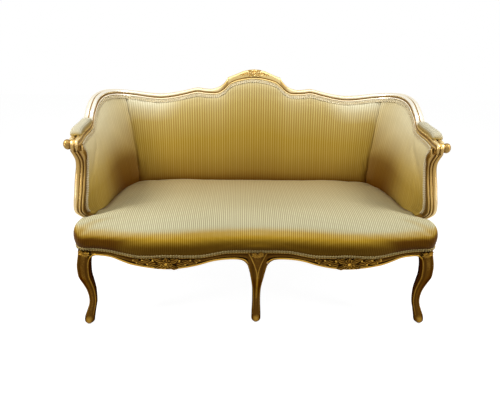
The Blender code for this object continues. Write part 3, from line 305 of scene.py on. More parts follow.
    def at(self, path: Values, height: Values, depth: Values) -> Array:
        """Points of the wall moved towards the sitter."""
        return self.wall(path, height) + self.inward(path, height) * np.asarray(depth, float)[..., None]

    def cloth_top(self, path: Values) -> Array:
        """Height where the pads and covers end."""
        return self.head_under(path) - self.gap

    def level(self, path: Values, height: Values) -> Array:
        """Share of the pads' height that a height stands at."""
        return (height - self.deck) / (self.cloth_top(path) - self.deck)

    def depth(self, points: Array, path: Values, height: Values) -> Array:
        """How far points lie from the wall towards the sitter."""
        return np.einsum("ij,ij->i", points - self.wall(path, height), self.inward(path, height))

    def pad_depth(self, path: Values, level: Values) -> Array:
        """Depth of the pads' faces from the wall's middle, at a share of their height."""
        side = np.abs(path)
        back, wing = smooth(self.back_profile, level)[..., 0], smooth(self.wing_profile, level)[..., 0]
        turn = ease((side - self.seam_share + 0.05) / 0.12)
        depth = self.back_depth * back * (1 - turn) + self.wing_depth * wing * turn
        depth = depth * (0.90 + 0.10 * ease(np.abs(side - self.seam_share) / 0.05))
        front = ease((side - self.roll_start) / (1 - self.roll_start)) ** 1.5
        depth = depth + (self.support_width / 2 - self.pad_back - 0.003 - depth) * front
        return self.pad_back + 0.003 + np.maximum(depth, 0.0)

    def even(self, start: float, end: float, spacing: float, height: float | None = None) -> Array:
        """Path shares an even distance apart.

        Args:
            start: First share.
            end: Last share.
            spacing: Distance between stations.
            height: Level to measure at, or the head's own line.

        Returns:
            The shares, from start to end.
        """
        fine = np.linspace(start, end, 600)
        level = self.head_under(fine) if height is None else height
        return respaced(np.column_stack([self.wall(fine, level), fine]), spacing)[:, 3]

    def front_edge(self, x: Values) -> Array:
        """Depth of the cloth's front edge, which swells twice."""
        return self.shift - self.front_bulge * np.sin(math.pi * np.asarray(x) / self.half_seat) ** 2

    def hem_height(self, x: Values) -> Array:
        """Height of the seat cloth's lower edge, which follows the carved rail."""
        return self.frame_bottom - smooth(self.hem, np.abs(x))[..., 0]

    def apron_bottom(self, x: Values) -> Array:
        """Height of the front rail's lower edge."""
        return self.frame_bottom - self.apron_drop * smooth(self.apron, np.abs(x) / self.leg_x)[..., 0]


# Modelling with the operators
class Bench:
    """Makes, shapes and finishes meshes."""

    @staticmethod
    def only(*pieces: Piece) -> None:
        """Selects just these pieces and makes the first one active."""
        bpy.ops.object.select_all(action="DESELECT")
        for piece in pieces:
            piece.select_set(True)
        bpy.context.view_layer.objects.active = pieces[0]

    @staticmethod
    def taken(name: str) -> Piece:
        """The object that an operator has just added, under its own name."""
        piece = bpy.context.object
        piece.name = piece.data.name = name
        return piece

    @classmethod
    def opened(cls, piece: Piece) -> None:
        """Puts a piece in edit mode with all of it selected."""
        cls.only(piece)
        bpy.ops.object.mode_set(mode="EDIT")
        bpy.ops.mesh.select_all(action="SELECT")

    @staticmethod
    def turned_out() -> None:
        """Turns all the faces out and leaves edit mode."""
        bpy.ops.mesh.select_all(action="SELECT")
        bpy.ops.mesh.normals_make_consistent(inside=False)
        bpy.ops.object.mode_set(mode="OBJECT")

    @classmethod
    def sweep(
        cls, name: str, rings: Array, groove: Values = 0.0, uv: Array | None = None,
        angle: float = 50.0,
    ) -> Piece:
        """A closed skin through closed rings of points, shaped from a grid.

        Args:
            name: Name of the piece.
            rings: Points by ring and place round it.
            groove: How dark each point is painted, from 0 to 1: deep in a groove, or under painted shade.
            uv: Map places of the points, in metres.
            angle: Edges sharper than this, in degrees, stay sharp.

        Returns:
            The new object.
        """
        rings = np.asarray(rings, float)
        if uv is None:
            uv = xyz(lengths(rings[0]), lengths(rings[:, 0])[:, None])
        step = np.linalg.norm(rings[0, -1] - rings[0, 0])
        groove = np.broadcast_to(groove, rings.shape[:2])
        groove = np.concatenate([groove, groove[:, :1]], axis=1)
        uv = np.concatenate([uv, uv[:, -1:] + np.array((step, 0.0))], axis=1)
        rings = np.concatenate([rings, rings[:, :1]], axis=1)
        rows, columns = rings.shape[:2]
        bpy.ops.mesh.primitive_grid_add(x_subdivisions=columns - 1, y_subdivisions=rows - 1, size=1.0)
        piece = cls.taken(name)
        mesh = piece.data
        mesh.vertices.foreach_set("co", rings.reshape(-1))
        corners = np.empty(len(mesh.loops), int)
        mesh.loops.foreach_get("vertex_index", corners)
        mesh.uv_layers[0].data.foreach_set("uv", uv.reshape(-1, 2)[corners].reshape(-1))
        marks = mesh.attributes.new("groove", "FLOAT", "POINT")
        marks.data.foreach_set("value", np.ascontiguousarray(groove, float).reshape(-1))
        mesh.update()
        cls.opened(piece)
        bpy.ops.mesh.remove_doubles(threshold=MERGE)
        bpy.ops.mesh.fill_holes(sides=0)
        cls.turned_out()
        bpy.ops.object.shade_smooth_by_angle(angle=math.radians(angle))
        return piece

    @classmethod
    def tube(cls, name: str, centre: Array, radius: Array, sides: int, groove: Values) -> Piece:
        """A round cord or bead along a line of points."""
        ahead = unit(np.gradient(centre, axis=0))
        guide = UP if abs(ahead[:, 2]).max() < 0.94 else np.array((0.0, 1.0, 0.05))
        side = unit(np.cross(ahead, guide))
        over = np.cross(side, ahead)
        turn = turns(sides)[:, None]
        reach = np.broadcast_to(radius, (len(centre),))[:, None, None]
        ring = side[:, None] * np.cos(turn) + over[:, None] * np.sin(turn)
        return cls.sweep(name, centre[:, None] + ring * reach, groove)

    @classmethod
    def turned(cls, name: str, start: Array, axis: Array, profile: Table, sides: int = 28) -> Piece:
        """A turned shape from rows of distance along its level axis, radius and groove."""
        along, radius, groove = np.array(profile).T[..., None]
        turn = turns(sides)[:, None]
        side = unit(np.cross(axis, UP))
        ring = side * np.cos(turn) + np.cross(axis, side) * np.sin(turn)
        rings = start + along[..., None] * axis + radius[..., None] * ring
        return cls.sweep(name, rings, groove, angle=60.0)

    @classmethod
    def applied(cls, piece: Piece, kind: str, **settings: object) -> None:
        """Adds a modifier with these settings and applies it."""
        cls.only(piece)
        modifier = piece.modifiers.new(kind.lower(), kind)
        for key, value in settings.items():
            setattr(modifier, key, value)
        bpy.ops.object.modifier_apply(modifier=modifier.name)

    @staticmethod
    def points(piece: Piece, normals: bool = False) -> Array:
        """Places of the piece's points, or the ways that they face."""
        values = np.empty(len(piece.data.vertices) * 3)
        if normals:
            piece.data.vertex_normals.foreach_get("vector", values)
        else:
            piece.data.vertices.foreach_get("co", values)
        return values.reshape(-1, 3)

    @staticmethod
    def paint(piece: Piece, name: str, values: Array) -> None:
        """Stores a value from 0 to 1 for each point of the piece."""
        mesh = piece.data
        layer = mesh.attributes.get(name) or mesh.attributes.new(name, "FLOAT", "POINT")
        layer.data.foreach_set("value", np.clip(values, 0.0, 1.0).astype(np.float32))

    @classmethod
    def joined(cls, name: str, pieces: Sequence[Piece]) -> Piece:
        """Several pieces made one object."""
        cls.only(*pieces)
        bpy.ops.object.join()
        return cls.taken(name)

    @staticmethod
    def copy(piece: Piece, name: str, move: Matrix) -> Piece:
        """A copy with its own mesh, moved by a matrix that may mirror it."""
        mesh = piece.data.copy()
        mesh.name = name
        mesh.transform(move)
        if move.determinant() < 0:
            mesh.flip_normals()
        twin = bpy.data.objects.new(name, mesh)
        bpy.context.scene.collection.objects.link(twin)
        return twin


# Finishes
class Nodes:
    """Builds the nodes of a new material or world."""

    def __init__(self, owner: bpy.types.ID) -> None:
        """Opens its node tree."""
        owner.use_nodes = True
        self.tree = owner.node_tree

    def add(self, kind: str, inputs: dict | None = None, **settings: object) -> bpy.types.Node:
        """A node with its settings, its inputs linked to sockets or set to values."""
        node = self.tree.nodes.new(f"ShaderNode{kind}")
        for key, value in settings.items():
            setattr(node, key, value)
        for key, value in (inputs or {}).items():
            self.feed(node.inputs[key], value)
        return node

    def feed(self, socket: Socket, value: object) -> None:
        """Links a socket, or sets it to a value."""
        if isinstance(value, Socket):
            self.tree.links.new(value, socket)
        elif isinstance(value, tuple) and len(value) == 3 and len(getattr(socket, "default_value", ())) == 4:
            socket.default_value = (*value, 1.0)
        else:
            socket.default_value = value

    def math(self, operation: str, *values: object) -> Socket:
        """The result of a sum."""
        return self.add("Math", dict(enumerate(values)), operation=operation).outputs[0]

    def mix(self, factor: object, first: object, second: object) -> Socket:
        """Two colours mixed."""
        return self.add("Mix", {0: factor, 6: first, 7: second}, data_type="RGBA").outputs[2]

    def noise(self, place: object, scale: float, detail: float = 2.0, roughness: float = 0.5) -> Socket:
        """A noise between 0 and 1."""
        inputs = {"Vector": place, "Scale": scale, "Detail": detail, "Roughness": roughness}
        return self.add("TexNoise", inputs).outputs["Fac"]

    def wave(self, place: object, scale: float, distortion: float, way: str) -> Socket:
        """Even bands between 0 and 1."""
        inputs = {"Vector": place, "Scale": scale, "Distortion": distortion, "Detail": 2.0}
        return self.add("TexWave", inputs, bands_direction=way).outputs["Fac"]

    def spread(
        self, value: object, low: float, high: float, to_low: float = 0.0, to_high: float = 1.0,
    ) -> Socket:
        """A value stretched from one range to another, and held within it."""
        return self.add("MapRange", dict(enumerate((value, low, high, to_low, to_high)))).outputs[0]

    def ramp(self, value: object, stops: Sequence[tuple[float, Colour]]) -> Socket:
        """A value turned into colours."""
        node = self.add("ValToRGB", {0: value})
        elements = node.color_ramp.elements
        while len(elements) < len(stops):
            elements.new(0.5)
        for element, (place, colour) in zip(elements, stops):
            element.position = place
            element.color = (*colour, 1.0)
        return node.outputs[0]

    def bump(self, height: object, distance: float, strength: float, under: object = None) -> Socket:
        """A normal pushed by a height, over another one where given."""
        inputs = {"Height": height, "Distance": distance, "Strength": strength}
        return self.add("Bump", inputs if under is None else inputs | {"Normal": under}).outputs[0]

    def place(self) -> Socket:
        """Places on the object, in metres."""
        return self.add("TexCoord").outputs["Object"]

    def map(self) -> Socket:
        """Places on the piece's own map, in metres."""
        return self.add("UVMap").outputs["UV"]

    def painted(self, name: str) -> Socket:
        """A value stored in the mesh."""
        return self.add("Attribute", attribute_name=name).outputs["Fac"]

    def set(self, **values: object) -> None:
        """Feeds the shader's sockets, named with low lines for spaces."""
        shader = self.tree.nodes["Principled BSDF"]
        for key, value in values.items():
            self.feed(shader.inputs[key.replace("_", " ").title().replace("Ior", "IOR")], value)


@dataclass(frozen=True)
class Finish:
    """A finish, whose material is made when it is first used."""

    name: str
    slot: str

    @cached_property
    def material(self) -> bpy.types.Material:
        """The material."""
        made = bpy.data.materials.new(self.name)
        self.lay(Nodes(made))
        return made

    def lay(self, nodes: Nodes) -> None:
        """Lays the finish's nodes."""
        raise NotImplementedError


@dataclass(frozen=True)
class GiltFinish(Finish):
    """Rubbed gold leaf over red clay: bright where raised, dark in the grooves and under painted shade, and
    pale under a painted highlight.
    """

    raised: Colour
    flat: Colour
    # Colour deep in the grooves and under painted shade.
    deep: Colour
    # Colour of the painted highlight.
    highlight_tone: Colour = (0.84, 0.80, 0.70)
    clay: Colour = (0.16, 0.045, 0.010)
    flat_at: float = 0.35
    metal: float = 0.9
    roughness: float = 0.30
    coat: float = 0.3
    rubbing: float = 0.5
    edge: Colour = (1.0, 0.86, 0.56)

    def lay(self, nodes: Nodes) -> None:
        """Lays the leaf's nodes."""
        place, groove, faded = nodes.place(), nodes.painted("groove"), nodes.painted("faded")
        cloud = nodes.noise(place, 9.0, 5.0, 0.62)
        speck = nodes.noise(place, 260.0, 3.0, 0.6)
        # The groove value holds the dark of real grooves and painted shade, with random mottle added.
        wear_and_shade = groove
        for mottle, share in ((speck, 0.22), (cloud, 0.20)):
            wear_and_shade = nodes.math("ADD", wear_and_shade, nodes.math("MULTIPLY", nodes.math("SUBTRACT", mottle, 0.5), share))
        tone = nodes.ramp(wear_and_shade, ((0.0, self.raised), (self.flat_at, self.flat), (0.95, self.deep)))
        # Painted highlight: a pale tone laid where painted light is stored, kept out of the grooves.
        tone = nodes.mix(nodes.math("MULTIPLY", faded, nodes.spread(groove, 0.6, 0.2)), tone, self.highlight_tone)
        patches = nodes.spread(cloud, 0.45, 0.65, 0.0, self.rubbing)
        tone = nodes.mix(nodes.math("MULTIPLY", nodes.spread(speck, 0.60, 0.74), patches), tone, self.clay)
        rough = nodes.spread(cloud, 0.2, 0.8, self.roughness - 0.06, self.roughness + 0.12)
        rough = nodes.math("ADD", rough, nodes.math("MULTIPLY", groove, 0.15))
        grain = nodes.noise(place, 420.0, 4.0, 0.6)
        relief = nodes.bump(grain, 0.00025, 0.35, nodes.bump(cloud, 0.002, 0.18))
        nodes.set(
            base_color=tone, metallic=self.metal, roughness=rough, normal=relief, coat_weight=self.coat,
            coat_roughness=0.18, specular_tint=self.edge,
        )


class StripeRun(Enum):
    """What the stripes are laid across."""

    WIDTH = "object width"
    CLOTH = "the cloth's own map"


@dataclass(frozen=True)
class SatinTone:
    """The dark and the light of the stripes."""

    dark: Colour
    light: Colour


@dataclass(frozen=True)
class SatinFinish(Finish):
    """Striped satin in old gold, turned pale sage by painted light on the lit tops and brown by painted shade
    in the creases.
    """

    run: StripeRun
    repeat: float
    # Pale tone of the painted light.
    faded: SatinTone
    base_tone: SatinTone = SatinTone((0.275, 0.158, 0.010), (0.49, 0.372, 0.085))
    # Brown tone of the painted shade.
    deep: SatinTone = SatinTone((0.085, 0.026, 0.0005), (0.13, 0.046, 0.001))
    sheen: float = 0.12
    gloss: float = 0.10

    def lay(self, nodes: Nodes) -> None:
        """Lays the cloth's nodes."""
        place = nodes.place()
        flat = place if self.run is StripeRun.WIDTH else nodes.map()
        across = nodes.add("SeparateXYZ", {0: flat}).outputs["X"]
        waver = nodes.math("MULTIPLY", nodes.math("SUBTRACT", nodes.noise(place, 5.0, 1.0), 0.5), 0.0012)
        count = nodes.math("DIVIDE", nodes.math("ADD", across, waver), self.repeat)
        off = nodes.math("ABSOLUTE", nodes.math("SUBTRACT", nodes.math("FRACT", count), 0.5))
        line = nodes.spread(off, 0.25, 0.10)
        calmed = nodes.math("MULTIPLY", nodes.painted("calm"), nodes.math("SUBTRACT", 0.35, line))
        line = nodes.math("ADD", line, calmed)
        third = nodes.math("FRACT", nodes.math("DIVIDE", nodes.math("FLOOR", count), 3.0))
        bold = nodes.spread(nodes.math("ABSOLUTE", nodes.math("SUBTRACT", third, 0.33)), 0.2, 0.05, 0.86, 1.0)
        thread = nodes.wave(flat, 260.0, 1.2, "Y")
        patch = nodes.noise(place, 2.2, 3.0, 0.55)
        woven = nodes.math("MULTIPLY", thread, 0.10)
        pattern = nodes.math("SUBTRACT", nodes.math("MULTIPLY", line, bold), woven)
        shaded = nodes.spread(patch, 0.25, 0.8, 0.0, 0.16)
        pattern = nodes.math("ADD", nodes.math("MAXIMUM", pattern, 0.0), shaded)
        tones = (self.base_tone, self.faded, self.deep)
        base_tone, faded, deep = (nodes.mix(pattern, tone.dark, tone.light) for tone in tones)
        # Painted light turns the cloth pale, and painted shade, stored as groove, turns it brown.
        colour = nodes.mix(nodes.painted("groove"), nodes.mix(nodes.painted("faded"), base_tone, faded), deep)
        relief = nodes.bump(thread, 0.00012, 0.4, nodes.bump(patch, 0.004, 0.15))
        nodes.set(
            base_color=colour, roughness=nodes.spread(patch, 0.2, 0.8, 0.42, 0.52),
            normal=nodes.bump(line, 0.00035, 0.5, relief), sheen_weight=self.sheen, sheen_roughness=0.36,
            sheen_tint=(0.86, 0.98, 0.84), specular_ior_level=self.gloss, specular_tint=(1.0, 0.84, 0.46),
        )


@dataclass(frozen=True)
class BraidFinish(Finish):
    """Cream and gold braid of twisted silk."""

    light: Colour
    dark: Colour
    sheen: float
    gloss: float
    depth: float = 0.75

    def lay(self, nodes: Nodes) -> None:
        """Lays the braid's nodes."""
        twist = nodes.wave(nodes.map(), 190.0, 0.6, "DIAGONAL")
        speck = nodes.noise(nodes.place(), 300.0, 3.0)
        tone = nodes.mix(nodes.spread(twist, 0.15, 0.8), self.dark, self.light)
        tone = nodes.mix(nodes.math("MULTIPLY", nodes.painted("groove"), self.depth), tone, self.dark)
        tone = nodes.mix(nodes.spread(speck, 0.4, 0.75, 0.0, 0.3), tone, tuple(c * 0.6 for c in self.light))
        relief = nodes.bump(twist, 0.0006, 0.6, nodes.bump(speck, 0.0003, 0.4))
        nodes.set(
            base_color=tone, roughness=0.55, normal=relief, sheen_weight=self.sheen,
            specular_ior_level=self.gloss,
        )


class Grain(Enum):
    """Which way a piece of wood's grain runs."""

    ACROSS = (0.06, 1.0, 1.0)
    DEEP = (1.0, 0.06, 1.0)
    UPRIGHT = (1.0, 1.0, 0.06)


@dataclass(frozen=True)
class WoodFinish(Finish):
    """Beech stained brown, as on the hidden frame and the rear legs."""

    grain: Grain
    light: Colour = (0.26, 0.125, 0.045)
    dark: Colour = (0.115, 0.045, 0.014)
    roughness: float = 0.48

    def lay(self, nodes: Nodes) -> None:
        """Lays the wood's nodes."""
        run = nodes.add("Mapping", {"Vector": nodes.place(), "Scale": self.grain.value}).outputs[0]
        figure = nodes.noise(run, 42.0, 6.0, 0.62)
        pore = nodes.noise(run, 420.0, 2.0, 0.5)
        bright = tuple(c * 1.2 for c in self.light)
        stops = ((0.0, self.dark), (0.5, self.light), (0.75, bright), (1.0, self.light))
        tone = nodes.ramp(nodes.spread(figure, 0.32, 0.70), stops)
        tone = nodes.mix(nodes.spread(pore, 0.58, 0.72, 0.0, 0.55), tone, self.dark)
        rough = nodes.spread(figure, 0.2, 0.8, self.roughness - 0.08, self.roughness + 0.10)
        relief = nodes.bump(pore, 0.0003, 0.4, nodes.bump(figure, 0.0006, 0.3))
        nodes.set(base_color=tone, roughness=rough, normal=relief, coat_weight=0.12, coat_roughness=0.3)


@dataclass(frozen=True)
class PlainWeaveFinish(Finish):
    """Plainly woven cloth: jute webbing and hessian, or black cotton."""

    light: Colour
    dark: Colour
    thread: float

    def lay(self, nodes: Nodes) -> None:
        """Lays the cloth's nodes."""
        place = nodes.place()
        warp, weft = (nodes.wave(place, 0.5 / self.thread, 0.5, way) for way in "XY")
        weave = nodes.math("MULTIPLY", warp, weft)
        slub = nodes.noise(place, 60.0, 4.0, 0.6)
        tone = nodes.mix(nodes.spread(weave, 0.05, 0.6), self.dark, self.light)
        tone = nodes.mix(nodes.spread(slub, 0.35, 0.75, 0.0, 0.4), tone, self.dark)
        relief = nodes.bump(weave, 0.0005, 0.7, nodes.bump(slub, 0.0008, 0.3))
        nodes.set(base_color=tone, roughness=0.9, normal=relief, sheen_weight=0.15, specular_ior_level=0.2)


@dataclass(frozen=True)
class SteelFinish(Finish):
    """Plain steel with fine scratches."""

    bright: Colour
    stained: Colour

    def lay(self, nodes: Nodes) -> None:
        """Lays the metal's nodes."""
        place = nodes.place()
        brushed = nodes.add("Mapping", {"Vector": place, "Scale": (1.0, 12.0, 1.0)}).outputs[0]
        scratch = nodes.noise(brushed, 300.0, 3.0)
        tone = nodes.mix(nodes.spread(nodes.noise(place, 120.0, 3.0), 0.4, 0.7), self.bright, self.stained)
        rough = nodes.spread(scratch, 0.2, 0.8, 0.28, 0.5)
        nodes.set(base_color=tone, metallic=1.0, roughness=rough, normal=nodes.bump(scratch, 0.0001, 0.3))


# One gilding in two copies: a lit, brighter copy for the upper show wood and a shaded, darker copy for the
# legs and front rail.
LIT_GILT = GiltFinish(
    "lit_gilt", "gilt", raised=(0.80, 0.62, 0.27), flat=(0.46, 0.29, 0.075), deep=(0.17, 0.085, 0.014),
    roughness=0.25,
)
SHADED_GILT = GiltFinish(
    "shaded_gilt", "gilt", raised=(0.46, 0.26, 0.040), flat=(0.075, 0.032, 0.004),
    deep=(0.018, 0.006, 0.001), metal=1.0, roughness=0.33, coat=0.0, rubbing=0.4, edge=(0.22, 0.10, 0.02),
)
WALL_SATIN = SatinFinish(
    "wall_satin", "stripe_cloth", StripeRun.CLOTH, 0.0114,
    faded=SatinTone((0.56, 0.51, 0.34), (0.74, 0.71, 0.53)),
)
# The wings take a lit copy of the wall's satin, painted lighter throughout.
LIT_WING_SATIN = SatinFinish(
    "lit_wing_satin", "stripe_cloth", StripeRun.CLOTH, 0.0114,
    faded=SatinTone((0.64, 0.585, 0.39), (0.83, 0.79, 0.585)),
    base_tone=SatinTone((0.38, 0.225, 0.020), (0.66, 0.51, 0.135)),
)
SEAT_SATIN = SatinFinish(
    "seat_satin", "stripe_cloth", StripeRun.WIDTH, 0.0072,
    faded=SatinTone((0.285, 0.272, 0.165), (0.565, 0.56, 0.41)),
    base_tone=SatinTone((0.34, 0.183, 0.007), (0.62, 0.405, 0.050)),
    deep=SatinTone((0.070, 0.021, 0.0004), (0.108, 0.035, 0.0008)), sheen=0.03, gloss=0.05,
)
ARM_SATIN = SatinFinish(
    "arm_satin", "stripe_cloth", StripeRun.CLOTH, 0.0072,
    faded=SatinTone((0.33, 0.315, 0.24), (0.46, 0.45, 0.37)),
    sheen=0.2, gloss=0.2,
)
WALL_BRAID = BraidFinish("braid_silk", "braid", (0.94, 0.88, 0.64), (0.40, 0.28, 0.11), 0.15, 0.1)
# The seat's braid is a darker, more golden copy of the wall's braid, painted for the shade under the seat's
# roll.
SHADED_SEAT_BRAID = BraidFinish("shaded_seat_braid_silk", "braid", (1.0, 0.80, 0.34), (0.14, 0.060, 0.006), 0.0, 0.04)
JUTE = PlainWeaveFinish("jute_weave", "jute", (0.34, 0.235, 0.12), (0.12, 0.07, 0.03), 0.0016)
CAMBRIC = PlainWeaveFinish("black_cambric", "cambric", (0.020, 0.020, 0.022), (0.006, 0.006, 0.007), 0.0008)
STEEL = SteelFinish("plain_steel", "steel", (0.55, 0.55, 0.54), (0.36, 0.33, 0.30))
BEECH = {grain: WoodFinish(f"stained_beech_{grain.name.lower()}", "beech", grain) for grain in Grain}


# Assemblies
@dataclass
class Assembly:
    """A sub-assembly, made along the settee's lines."""

    lines: SetteeLines

    def dress(self, piece: Piece, finish: Finish, node: str) -> Piece:
        """Gives a piece its finish, ties it to the frame and hides the CAD node that it stands for."""
        piece.data.materials.clear()
        piece.data.materials.append(finish.material)
        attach(piece, "root")
        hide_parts(node)
        LOG.info("%s: %d faces, stands for %s", piece.name, len(piece.data.polygons), node)
        return piece

    def pair(self, piece: Piece, base: str, finish: Finish, node: str) -> list[Piece]:
        """Dresses a right-hand piece and its left-hand twin.

        Args:
            piece: The right-hand mesh.
            base: Name of both, with SIDE for the side.
            finish: Their finish.
            node: The CAD nodes' name, with SIDE for the side.

        Returns:
            Both pieces.
        """
        twin = Bench.copy(piece, base.replace("SIDE", "left"), Matrix.Diagonal((-1.0, 1.0, 1.0, 1.0)))
        piece.name = piece.data.name = base.replace("SIDE", "right")
        sides = (("right", piece), ("left", twin))
        return [self.dress(one, finish, node.replace("SIDE", side)) for side, one in sides]

    def stretched(self, pieces: Sequence[Piece], width: float, rest: str) -> None:
        """Takes tacked cloths, their flat width and what carries them, and does nothing with them."""


@dataclass
class ShowWood(Assembly):
    """The moulded rails of the back, wings and arms, with the arms' scrolls and supports."""

    back_width: float = 0.040
    arm_width: float = 0.044
    crest_joint: float = 0.43
    arm_joint: float = 0.745
    scroll_radius: float = 0.0225
    scroll_reach: float = 0.044
    scroll_offset: float = 0.012
    curl_width: float = 0.031
    curl_shift: float = 0.004
    crest_station: float = 0.0035
    wing_station: float = 0.007
    arm_station: float = 0.008
    shoulders: Table = (
        (0.0, 0.020, 0.045, 0.078, 0.100, 0.109, 0.1125, 0.1160, 0.1275, 0.140, 0.158, 0.180, 1.0),
        (0.0900, 0.0890, 0.0830, 0.0680, 0.0585, 0.0560, 0.0480, 0.0410, 0.0260, 0.0155, 0.0060, 0.0, 0.0),
    )
    moulding: Table = (
        (0.90, 0.0, 0.9), (0.985, 0.0004, 0.6), (1.0, 0.0018, 0.2), (1.0, 0.0048, 0.05), (0.97, 0.0066, 0.2),
        (0.90, 0.0078, 0.7), (0.80, 0.0088, 1.0), (0.72, 0.0102, 1.0), (0.73, 0.0114, 0.7),
        (0.75, 0.0120, 0.15), (0.79, 0.0132, 0.1), (0.83, 0.0155, 0.05), (0.82, 0.0182, 0.0),
        (0.75, 0.0209, 0.0), (0.62, 0.0230, 0.0), (0.46, 0.0240, 0.0), (0.30, 0.0238, 0.0),
        (0.17, 0.0224, 0.2), (0.09, 0.0205, 0.7), (0.03, 0.0196, 1.0), (-0.04, 0.0198, 0.9),
        (-0.11, 0.0212, 0.4), (-0.22, 0.0229, 0.05), (-0.40, 0.0239, 0.0), (-0.58, 0.0237, 0.0),
        (-0.76, 0.0220, 0.0), (-0.90, 0.0187, 0.05), (-0.98, 0.0140, 0.1), (-1.0, 0.0085, 0.2),
        (-1.0, 0.0030, 0.4), (-0.96, 0.0002, 0.7), (-0.90, 0.0, 0.9),
    )
    button: Table = (
        (-0.005, 0.0, 0.62), (-0.0044, 0.0056, 0.62), (-0.0022, 0.0110, 0.65), (0.0016, 0.0156, 0.7),
        (0.0062, 0.0180, 0.75), (0.0108, 0.0184, 0.75), (0.0152, 0.0172, 0.8), (0.0180, 0.0156, 0.85),
        (0.0190, 0.0150, 1.0), (0.0200, 0.0152, 1.0), (0.0210, 0.0168, 0.6), (0.0246, 0.0180, 0.35),
        (0.0400, 0.0176, 0.6), (0.0400, 0.0, 0.8),
    )
    support_section: Table = (
        (0.92, -1.0, 0.5), (1.0, -0.85, 0.3), (1.0, -0.3, 0.3), (1.0, 0.30, 0.6), (0.96, 0.42, 0.8),
        (0.99, 0.56, 0.2), (0.95, 0.76, 0.0), (0.84, 0.88, 0.0), (0.70, 0.86, 0.1), (0.60, 0.74, 0.8),
        (0.54, 0.72, 1.0), (0.49, 0.80, 0.6), (0.42, 0.94, 0.0), (0.30, 1.0, 0.0), (0.16, 0.96, 0.05),
        (0.06, 0.82, 0.8), (0.0, 0.80, 1.0), (-0.06, 0.84, 0.6), (-0.16, 0.94, 0.05), (-0.34, 0.99, 0.0),
        (-0.56, 0.93, 0.0), (-0.78, 0.76, 0.0), (-0.93, 0.48, 0.05), (-1.0, 0.10, 0.1), (-1.0, -0.55, 0.2),
        (-0.92, -1.0, 0.4),
    )

    def width(self, path: Array) -> Array:
        """Width of the rail along the path."""
        along = (np.abs(path) - self.crest_joint) / (self.arm_joint - self.crest_joint)
        return self.back_width + (self.arm_width - self.back_width) * ease(along)

    def cusp(self, path: Array) -> Array:
        """Lift of the top bead that gives the crest its two sharp shoulders."""
        return np.interp(np.abs(path), *self.shoulders) - self.lines.crest_rise * self.lines.crest(path)

    def rings(self, path: Array) -> tuple[Array, Array]:
        """Sections of the rail, how deep in a groove their points lie, and the painted shade on the sides of
        the crest's two shoulders.
        """
        lines = self.lines
        across, up, groove = np.array(self.moulding).T
        under = lines.head_under(path)
        high = ease((up - 0.0117) / 0.0014)
        stretch = (lines.lip_height(path) - lines.lip)[:, None] * high
        stretch = stretch + self.cusp(path)[:, None] * ease((up - 0.012) / 0.008)
        reach = across * self.width(path)[:, None] / 2
        points = lines.wall(path, under)[:, None] + lines.inward(path, under)[:, None] * reach[..., None]
        # Painted shade on the sides of the crest's shoulders.
        shade = np.interp(np.abs(path), (0.106, 0.112, 0.130, 0.150), (0.0, 0.40, 0.30, 0.0))
        return points + UP * (up + stretch)[..., None], np.clip(groove + shade[:, None] * high, 0.0, 1.0)

    def stretch_of_rail(self, name: str, start: float, end: float, station: float) -> Piece:
        """A stretch of moulded rail between two path shares, with its stations this far apart and a painted
        highlight that grows towards the wings.
        """
        rail = Bench.sweep(name, *self.rings(self.lines.even(start, end, station)))
        # Painted highlight: paler further out along the rail.
        shares = np.interp(np.abs(Bench.points(rail)[:, 0]), (0.10, 0.25, 0.5, 0.66), (0.0, 0.30, 0.50, 0.95))
        Bench.paint(rail, "faded", shares)
        return rail

    def arm(self) -> Piece:
        """The right arm's rail, which runs out over its support and curls down round its scroll."""
        lines = self.lines
        rings, groove = self.rings(lines.even(self.arm_joint + CLEAR, 1.0, self.arm_station))
        across, up, mark = np.array(self.moulding).T[..., None]
        under = lines.head_under(1.0)
        axis, tip, side = self.scroll_axis(), lines.wall(1.0, under), lines.inward(1.0, under)
        forward = quarter(side)
        run = np.dot(axis - tip, forward)
        extra, marks = [], []
        for share in np.linspace(0.1, 1.0, 7):
            squeeze = ease(share)
            half = (self.arm_width + (self.curl_width - self.arm_width) * squeeze) / 2
            centre = tip + forward * run * share + side * self.curl_shift * squeeze
            extra.append(centre + side * (across * half) + UP * up)
            marks.append(mark[:, 0])
        base = axis + side * (np.dot(tip - axis, side) + self.curl_shift)
        base[2] = lines.head_top(1.0) - self.scroll_radius
        for angle in np.radians(np.arange(12, 246, 12)):
            radial = forward * math.sin(angle) + UP * math.cos(angle)
            reach = np.maximum(self.scroll_radius - lines.lip + up, CLEAR)
            extra.append(base + side * (across * self.curl_width / 2) + radial * reach)
            marks.append(mark[:, 0] + 0.55 * ease(angle / 1.6))
        rail = Bench.sweep("arm", np.concatenate([rings, extra]), np.concatenate([groove, marks]))
        joint = lines.wall(self.arm_joint, lines.head_under(self.arm_joint))[1]
        # Painted highlight: pale next to the wing, fading along the arm.
        Bench.paint(rail, "faded", 0.95 - 0.75 * ease((joint - Bench.points(rail)[:, 1]) / 0.09))
        start = axis - side * 0.0188
        start[2] = base[2] + 0.005
        return Bench.joined("arm", [rail, Bench.turned("button", start, side, self.button)])

    def scroll_axis(self) -> Array:
        """A point on the axis of the right arm's scroll."""
        lines = self.lines
        under = lines.head_under(1.0)
        tip, before = lines.wall(1.0, under), lines.wall(0.98, under)
        along = unit((tip - before) * (1.0, 1.0, 0.0))
        centre = tip + along * (lines.support_depth / 2 + self.scroll_reach / 2)
        return centre + (self.scroll_offset, 0.0, lines.lip - self.scroll_radius)

